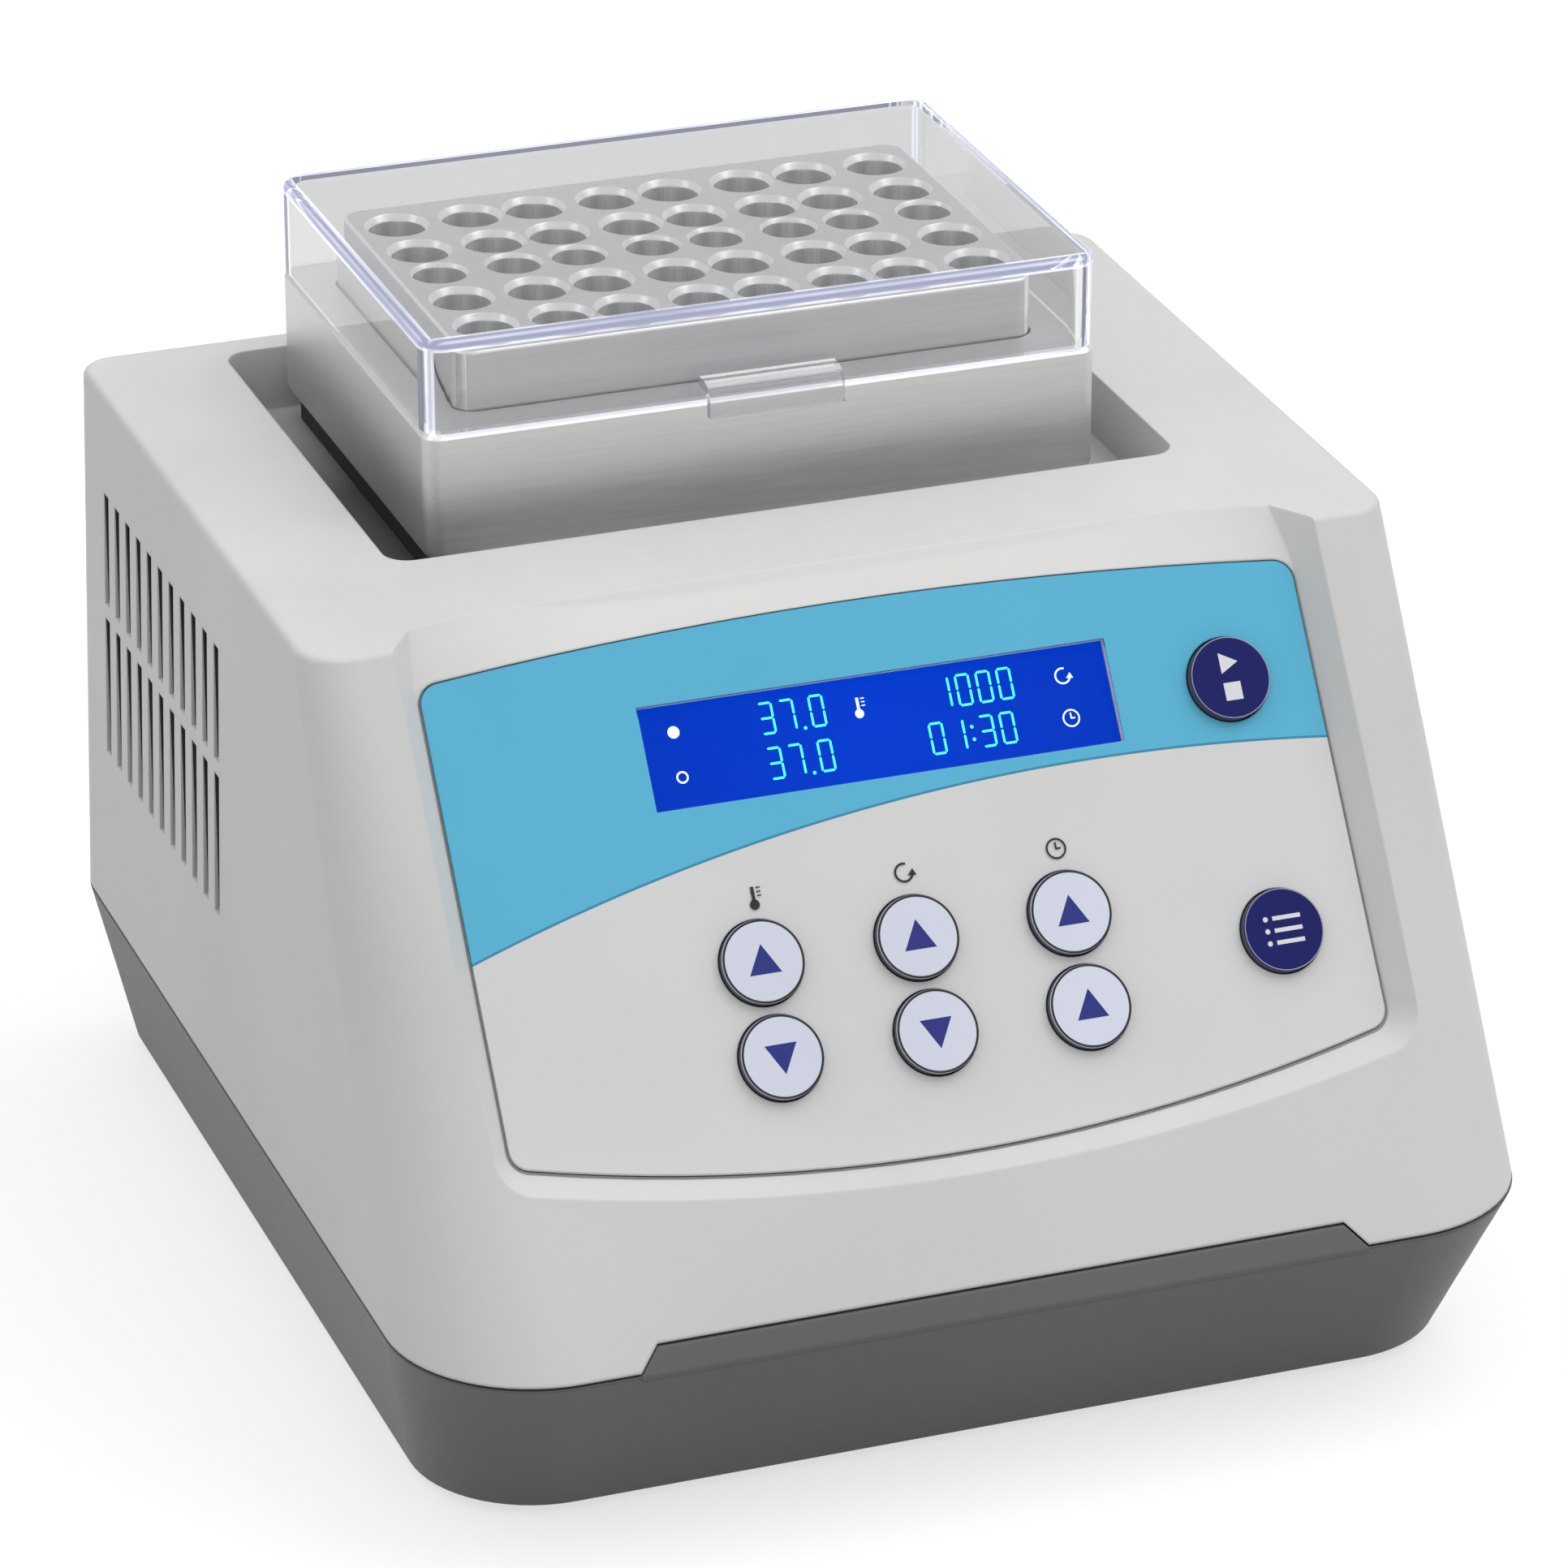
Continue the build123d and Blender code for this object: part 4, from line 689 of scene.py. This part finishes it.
# %% Display digits
digit_height = 5.7
digit_width = 2.5
stroke = 0.44
segment_gap = 0.16
digit_pitch, dot_pitch, dot_radius = 4.1, 1.7, 0.34
segments_on = {"0": "abcdef", "1": "bc", "3": "abcdg", "7": "abc"}
display_face = -1.4           # front of the lit module, under the window
lit_low, lit_high = display_face + 0.02, display_face + 0.06


def segment(mesh, x, y, length, upright):
    """A bar with pointed ends, centred on x, y."""
    h, w = length / 2, stroke / 2
    outline = [(-h, 0), (-h + w, -w), (h - w, -w), (h, 0), (h - w, w), (-h + w, w)]
    if upright:
        outline = [(-b, a) for a, b in outline]
    prism(mesh, [(x + a, y + b) for a, b in outline], lit_low, lit_high)


def draw_digit(mesh, character, x, y):
    w, h = digit_width / 2, digit_height / 2
    centres = {"a": (0, h, False), "d": (0, -h, False), "g": (0, 0, False), "b": (w, h / 2, True),
               "c": (w, -h / 2, True), "e": (-w, -h / 2, True), "f": (-w, h / 2, True)}
    for name in segments_on[character]:
        dx, dy, upright = centres[name]
        segment(mesh, x + dx, y + dy, (h if upright else digit_width) - segment_gap, upright)


def draw_number(mesh, text, middle, y):
    """Digits take a whole pitch, a point or a colon takes less."""
    widths = [digit_pitch if c.isdigit() else dot_pitch for c in text]
    x = middle - sum(widths) / 2
    for character, width in zip(text, widths):
        centre = x + width / 2
        if character.isdigit():
            draw_digit(mesh, character, centre, y)
        else:
            for dy in ([-digit_height / 2] if character == "." else [-1.2, 1.2]):
                prism(mesh, disc(centre, y + dy, dot_radius, 12), lit_low, lit_high)
        x += width


readouts = (("37.0", -16.3, 30.1), ("37.0", -16.3, 21.6), ("1000", 19.6, 29.9),
            ("01:30", 17.6, 21.6))
marks = bmesh.new()
for text, middle, y in readouts:
    draw_number(marks, text, middle, y)
digits = finish_marks(marks, "display_digits", "housing", [segment_light])
print("digit faces:", len(digits.data.polygons))

# %% [markdown]
# ## Pictograms
# Plain pictograms stand where an instrument has its captions: a thermometer, a turning arrow and
# a clock. They are drawn from the same few strokes at two sizes, as ink on the film and as lit
# symbols in the display.

# %% Pictograms
drawn_height = 4.4            # the pictograms are drawn this high, and scaled from it


def thermometer(mesh, x, y, size, low, high):
    u = size / drawn_height
    prism(mesh, disc(x, y - 1.35 * u, 0.95 * u, 24), low, high)
    prism(mesh, bar(x, y - 0.75 * u, x, y + 2.0 * u, 0.62 * u), low, high)
    for k in range(3):
        rung = y + (0.25 + 0.75 * k) * u
        prism(mesh, bar(x + 0.75 * u, rung, x + 1.55 * u, rung, 0.24 * u), low, high)


def turning_arrow(mesh, x, y, size, low, high):
    u = size / drawn_height
    arc_stroke(mesh, x, y, 1.75 * u, 0.42 * u, 70, 340, low, high)
    tip_x, tip_y = around(x, y, 1.75 * u, [math.radians(342)])[0]
    prism(mesh, [(tip_x - 0.95 * u, tip_y - 0.1 * u), (tip_x + 0.8 * u, tip_y - 0.25 * u),
                 (tip_x + 0.15 * u, tip_y + 1.15 * u)], low, high)


def clock(mesh, x, y, size, low, high):
    u = size / drawn_height
    arc_stroke(mesh, x, y, 1.9 * u, 0.38 * u, 0, 360, low, high)
    prism(mesh, bar(x, y - 0.15 * u, x, y + 1.25 * u, 0.34 * u), low, high)
    prism(mesh, bar(x - 0.1 * u, y, x + 0.95 * u, y, 0.34 * u), low, high)


ink_low, ink_high = film_top + 0.005, film_top + 0.035
marks = bmesh.new()
thermometer(marks, -31.2, -2.6, 4.4, ink_low, ink_high)
turning_arrow(marks, -1.8, -2.4, 4.2, ink_low, ink_high)
clock(marks, 28.3, -2.4, 4.2, ink_low, ink_high)
finish_marks(marks, "panel_pictograms", "housing", [black_ink])

marks = bmesh.new()
prism(marks, disc(-39.4, 30.1, 1.15), lit_low, lit_high)
arc_stroke(marks, -39.4, 21.6, 1.0, 0.35, 0, 360, lit_low, lit_high)
thermometer(marks, -3.4, 29.6, 4.0, lit_low, lit_high)
turning_arrow(marks, 37.2, 29.7, 3.6, lit_low, lit_high)
clock(marks, 37.2, 21.6, 3.6, lit_low, lit_high)
finish_marks(marks, "display_symbols", "housing", [unit_light])

# %% [markdown]
# ## Key caps
# Every cap carries a printed ring and a symbol. The ring is one Geometry Nodes tree: a circle
# swept with a small rectangle, with its sizes as inputs, used eight times, once for each key,
# because every key moves on its own.

# %% Ring tree
ring_tree = bpy.data.node_groups.new("printed ring", "GeometryNodeTree")
for label, value in (("Radius", 7.4), ("Width", 0.4), ("Thickness", 0.03)):
    made = ring_tree.interface.new_socket(name=label, in_out="INPUT", socket_type="NodeSocketFloat")
    made.default_value = value
ring_tree.interface.new_socket(name="Ink", in_out="INPUT", socket_type="NodeSocketMaterial")
ring_tree.interface.new_socket(name="Geometry", in_out="OUTPUT", socket_type="NodeSocketGeometry")
ring_in = ring_tree.nodes.new("NodeGroupInput")
circle = add_node(ring_tree, "GeometryNodeCurvePrimitiveCircle", {}, {
    "Resolution": 72, "Radius": ring_in.outputs["Radius"]})
profile = add_node(ring_tree, "GeometryNodeCurvePrimitiveQuadrilateral", {}, {
    "Width": ring_in.outputs["Width"], "Height": ring_in.outputs["Thickness"]})
swept = add_node(ring_tree, "GeometryNodeCurveToMesh", {}, {
    "Curve": circle.outputs["Curve"], "Profile Curve": profile.outputs[0]})
realized = add_node(ring_tree, "GeometryNodeRealizeInstances", {}, {0: swept.outputs[0]})
inked = add_node(ring_tree, "GeometryNodeSetMaterial", {}, {
    "Geometry": realized.outputs[0], "Material": ring_in.outputs["Ink"]})
feed(ring_tree, ring_tree.nodes.new("NodeGroupOutput").inputs[0], inked.outputs[0])


def plain_mesh(host):
    """What an object's modifiers make of it, as a mesh. The object is removed."""
    evaluated = host.evaluated_get(bpy.context.evaluated_depsgraph_get())
    made = bpy.data.meshes.new_from_object(evaluated)
    bpy.data.objects.remove(host)
    return made


def grown(tree, name, start, values):
    """Runs a Geometry Nodes tree on a start mesh with these inputs, and returns the mesh."""
    host = linked(name + " host", start)
    modifier = host.modifiers.new("grow", "NODES")
    modifier.node_group = tree
    for item in tree.interface.items_tree:
        if item.item_type == "SOCKET" and item.in_out == "INPUT" and item.name in values:
            modifier[item.identifier] = values[item.name]
    return plain_mesh(host)


# %% Key marks
key_top = film_top + 1.5
key_places = {
    "start_stop_key": (68.7, 24.1), "program_key": (68.7, -24.3),
    "temperature_up_key": (-32.2, -14.7), "temperature_down_key": (-32.2, -32.5),
    "speed_up_key": (-2.0, -14.7), "speed_down_key": (-2.0, -32.5),
    "time_up_key": (28.2, -14.7), "time_down_key": (28.2, -32.5),
}
pointing_up = {"temperature_up_key", "speed_up_key", "time_up_key", "time_down_key"}


def triangle(x, y, width, height, upward):
    s = 1 if upward else -1
    return [(x - s * width / 2, y - s * height * 0.42), (x + s * width / 2, y - s * height * 0.42),
            (x, y + s * height * 0.58)]


low, high = key_top + 0.005, key_top + 0.03
for key, (x, y) in key_places.items():
    marks = bmesh.new()
    symbol, ring_colour, ring_radius, ring_width = white_ink, ring_ink, 7.68, 0.2
    if key == "start_stop_key":
        prism(marks, [(x - 1.6, y + 0.9), (x + 2.0, y + 2.9), (x - 1.6, y + 4.9)], low, high)
        prism(marks, bar(x - 1.7, y - 2.6, x + 1.7, y - 2.6, 3.4), low, high)
    elif key == "program_key":
        for row in (-2.3, 0.0, 2.3):
            prism(marks, disc(x - 3.3, y + row, 0.5, 16), low, high)
            prism(marks, bar(x - 1.9, y + row, x + 3.7, y + row, 0.8), low, high)
    else:
        prism(marks, triangle(x, y, 6.2, 5.6, key in pointing_up), low, high)
        symbol, ring_colour, ring_radius, ring_width = navy_ink, black_ink, 7.6, 0.42
    ring = grown(ring_tree, key + " ring", bpy.data.meshes.new(key + " start"), {
        "Radius": ring_radius, "Width": ring_width, "Thickness": 0.02, "Ink": ring_colour})
    ring.transform(Matrix.Translation((x, y, key_top + 0.018)))
    marks_before = len(marks.faces)
    marks.from_mesh(ring)
    for face in list(marks.faces)[marks_before:]:
        face.material_index = 1
    finish_marks(marks, key + "_print", key, [symbol, ring_colour])
print("keys printed:", len(key_places))

# %% [markdown]
# ## Fasteners at the back
# The fan and the power inlet are held by pan-head screws. One head, a turned profile with a cross
# recess, is instanced by Geometry Nodes on a few points that lie on the rear wall.

# %% Screw head
rear_lean = math.atan((seam_back - top_back) / (case_height - seam_height))
fan_place, fan_screw_reach = (-50, 76), 20           # x and height on the rear wall
inlet_place, inlet_screw_reach = (66, 70), 20


def on_rear_wall(x, z):
    """The point in the room where a place on the rear wall lies, from millimetres."""
    return Vector((x, top_back + (case_height - z) * math.tan(rear_lean), z)) * millimetre


def turned(mesh, profile, steps=32):
    """Closed body of revolution about z, from radii and heights that start and end on the axis."""
    rings = []
    for radius, height in profile:
        circle = disc(0, 0, radius, steps) if radius else [(0, 0)]
        rings.append([mesh.verts.new((x, y, height)) for x, y in circle])
    for a, b in zip(rings, rings[1:]):
        for k in range(steps):
            j = (k + 1) % steps
            corners = [a[k % len(a)], a[j % len(a)], b[j % len(b)], b[k % len(b)]]
            mesh.faces.new(list(dict.fromkeys(corners)))
    bmesh.ops.recalc_face_normals(mesh, faces=mesh.faces)


head_profile = [(0, 0.02), (2.6, 0.02), (2.75, 0.25), (2.6, 0.9), (2.1, 1.35), (1.3, 1.55), (0, 1.6)]
head_mesh = bmesh.new()
turned(head_mesh, head_profile)
head_object = linked("pan_head_pattern", settled(head_mesh, "pan head"))

arm, half = 1.5, 0.22                        # reach and half width of the cross
quarter = [(-arm, -half), (-half, -half), (-half, -arm)]
cross_outline = []
for _ in range(4):
    cross_outline += quarter
    quarter = [(-y, x) for x, y in quarter]
cross_mesh = bmesh.new()
prism(cross_mesh, cross_outline, 0.9, 3.0)
cross_object = linked("cross_cutter", settled(cross_mesh, "cross recess"))

recess = head_object.modifiers.new("cross", "BOOLEAN")
recess.object = cross_object
recess.operation = "DIFFERENCE"
head = plain_mesh(head_object)
bpy.data.objects.remove(cross_object)
print("screw head faces:", len(head.polygons))

# %% Scatter tree
scatter_tree = bpy.data.node_groups.new("copies on points", "GeometryNodeTree")
scatter_tree.interface.new_socket(name="Places", in_out="INPUT", socket_type="NodeSocketGeometry")
for label, kind, value in (("Pattern", "Object", None), ("Tilt", "Float", 0.0),
                           ("Turn", "Float", 0.4), ("Scale", "Float", millimetre),
                           ("Finish", "Material", None)):
    made = scatter_tree.interface.new_socket(name=label, in_out="INPUT", socket_type="NodeSocket" + kind)
    if value is not None:
        made.default_value = value
scatter_tree.interface.new_socket(name="Geometry", in_out="OUTPUT", socket_type="NodeSocketGeometry")
scatter_in = scatter_tree.nodes.new("NodeGroupInput")
pattern = add_node(scatter_tree, "GeometryNodeObjectInfo", {}, {"Object": scatter_in.outputs["Pattern"]})
spin = add_node(scatter_tree, "FunctionNodeRandomValue", {"data_type": "FLOAT"}, {"Seed": 7})
twist = add_node(scatter_tree, "ShaderNodeMath", {"operation": "MULTIPLY"},
                 {0: spin.outputs["Value"], 1: scatter_in.outputs["Turn"]})
about_z = add_node(scatter_tree, "ShaderNodeCombineXYZ", {}, {"Z": twist.outputs[0]})
placed = add_node(scatter_tree, "GeometryNodeInstanceOnPoints", {}, {
    "Points": scatter_in.outputs["Places"], "Instance": pattern.outputs["Geometry"],
    "Scale": scatter_in.outputs["Scale"]})
tipped_by = add_node(scatter_tree, "ShaderNodeCombineXYZ", {}, {"X": scatter_in.outputs["Tilt"]})
tipped = add_node(scatter_tree, "GeometryNodeRotateInstances", {}, {
    "Instances": placed.outputs[0], "Rotation": tipped_by.outputs[0]})
spun = add_node(scatter_tree, "GeometryNodeRotateInstances", {}, {
    "Instances": tipped.outputs[0], "Rotation": about_z.outputs[0]})
realized = add_node(scatter_tree, "GeometryNodeRealizeInstances", {}, {0: spun.outputs[0]})
coated = add_node(scatter_tree, "GeometryNodeSetMaterial", {}, {
    "Geometry": realized.outputs[0], "Material": scatter_in.outputs["Finish"]})
feed(scatter_tree, scatter_tree.nodes.new("NodeGroupOutput").inputs[0], coated.outputs[0])

# %% Rear screws and vent shade sleeves


def scatter(name, places, pattern, tilt, turn, slot, body):
    """Copies of one mesh, drawn in millimetres, on points in the room, as one piece on a body."""
    points = bpy.data.meshes.new(name + " places")
    points.from_pydata(places, [], [])
    pattern_object = linked(name + " pattern", pattern)
    scattered = grown(scatter_tree, name, points, {
        "Pattern": pattern_object, "Tilt": tilt, "Turn": turn, "Finish": finishes[slot]})
    bpy.data.objects.remove(pattern_object)
    piece = linked(name, scattered)
    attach(piece, body)
    print(name, "copies:", len(places), "faces:", len(scattered.polygons))


sides = (-1, 1)
screw_places = [(fan_place[0] + right * fan_screw_reach, fan_place[1] + up * fan_screw_reach)
                for right in sides for up in sides]
screw_places += [(inlet_place[0] + right * inlet_screw_reach, inlet_place[1]) for right in sides]
scatter("rear_screws", [on_rear_wall(x, z) for x, z in screw_places], head,
        -(math.pi / 2 - rear_lean), 1.5, "steel", "housing")

# Painted shade: each side vent gets a dark sleeve that stands in for the shade inside the slot,
# and hides the pale cut of the wall but for a thin rim.
vent_middle_y, vent_pitch, vent_count, vent_width = 54.5, 7.7, 11, 3.2
sleeve_gap, sleeve_sheet, sleeve_sink, sleeve_length = 0.02, 0.12, 0.12, 4.0


def shade_sleeve(height):
    """Open rectangular tube along x, closed as a solid of sheet, a hair inside its slot; a dark
    sheet of painted shade.
    """
    mesh = bmesh.new()
    rings = []
    for x in (-sleeve_length / 2, sleeve_length / 2):
        for shrink in (sleeve_gap, sleeve_gap + sleeve_sheet):
            w, h = vent_width / 2 - shrink, height / 2 - shrink
            rings.append([mesh.verts.new((x, y, z)) for y, z in ((-w, -h), (w, -h), (w, h), (-w, h))])
    for a, b in ((0, 1), (1, 3), (3, 2), (2, 0)):
        for k in range(4):
            m = (k + 1) % 4
            mesh.faces.new((rings[a][k], rings[a][m], rings[b][m], rings[b][k]))
    bmesh.ops.recalc_face_normals(mesh, faces=mesh.faces)
    return settled(mesh, "shade_sleeve")


shell_foot = seam_height + seam_gap
first_vent_y = vent_middle_y - (vent_count - 1) / 2 * vent_pitch
for name, low, high in (("upper_vent_sleeves", 104.0, 127.5), ("lower_vent_sleeves", 72.0, 101.0)):
    leaned_in = side_run * (high - shell_foot) / (case_height - shell_foot)
    outside = seam_half_width - leaned_in - sleeve_sink - sleeve_length / 2
    places = [Vector((side * outside, first_vent_y + k * vent_pitch, (low + high) / 2)) * millimetre
              for side in sides for k in range(vent_count)]
    scatter(name, places, shade_sleeve(high - low), 0.0, 0.0, "switch_plastic", "housing")

# %% [markdown]
# ## Room and light
# A white floor keeps a soft shadow. The sky is brighter above and to the right, a wide lamp adds
# to it from the right and above, and a narrow one from the left. Levels are set so that a colour
# renders about as it is written. What the camera sees behind the object is plain white.

# %% Floor
reach = 6.0
floor_grey, floor_glow = 0.42, 0.66
floor_mesh = bpy.data.meshes.new("floor")
floor_mesh.from_pydata([(-reach, -reach, 0), (reach, -reach, 0), (reach, reach, 0),
                        (-reach, reach, 0)], [], [(0, 1, 2, 3)])
floor = linked("floor", floor_mesh)
floor.location.z = -0.0005                   # a hair under the feet
floor_paint, tree, shader = new_material("white floor")
feed(tree, shader.inputs["Base Color"], (floor_grey, floor_grey, floor_grey, 1))
feed(tree, shader.inputs["Roughness"], 0.9)
feed(tree, shader.inputs["Specular IOR Level"], 0.0)
path = add_node(tree, "ShaderNodeLightPath").outputs
seen = any_of(tree, path["Is Camera Ray"], path["Is Glossy Ray"], path["Is Transmission Ray"])
feed(tree, shader.inputs["Emission Color"], (1, 1, 1, 1))
feed(tree, shader.inputs["Emission Strength"], all_of(tree, seen, floor_glow))
floor_mesh.materials.append(floor_paint)

# %% Sky
world = bpy.data.worlds.new("studio sky")
bpy.context.scene.world = world
world.use_nodes = True
tree = world.node_tree
sky = tree.nodes["Background"]
direction = axes(tree, add_node(tree, "ShaderNodeTexCoord").outputs["Generated"])
level = all_of(tree, ramp(tree, direction["Z"], -0.1, 0.9, 0.27, 1.05),
               ramp(tree, direction["X"], -0.9, 0.9, 0.86, 1.10))
path = add_node(tree, "ShaderNodeLightPath").outputs
seen = any_of(tree, path["Is Camera Ray"], path["Is Transmission Ray"])
feed(tree, sky.inputs["Color"], (1, 1, 1, 1))
feed(tree, sky.inputs["Strength"], mix_value(tree, seen, level, 1.0))

# %% Lamps


def softbox(name, place, target, size, power):
    lamp = bpy.data.lights.new(name, "AREA")
    lamp.shape = "RECTANGLE"
    lamp.size, lamp.size_y = size
    lamp.energy = power
    holder = linked(name, lamp)
    holder.location = place
    holder.rotation_euler = (Vector(target) - Vector(place)).to_track_quat("-Z", "Y").to_euler()


softbox("key", (0.9, -0.25, 1.6), (0, 0, 0.1), (1.2, 1.2), 7)
softbox("side strip", (-1.2, 0.1, 0.9), (0, 0.05, 0.12), (0.25, 1.2), 1.2)

# %% Colour management and the last box
bpy.context.scene.view_settings.view_transform = "Standard"
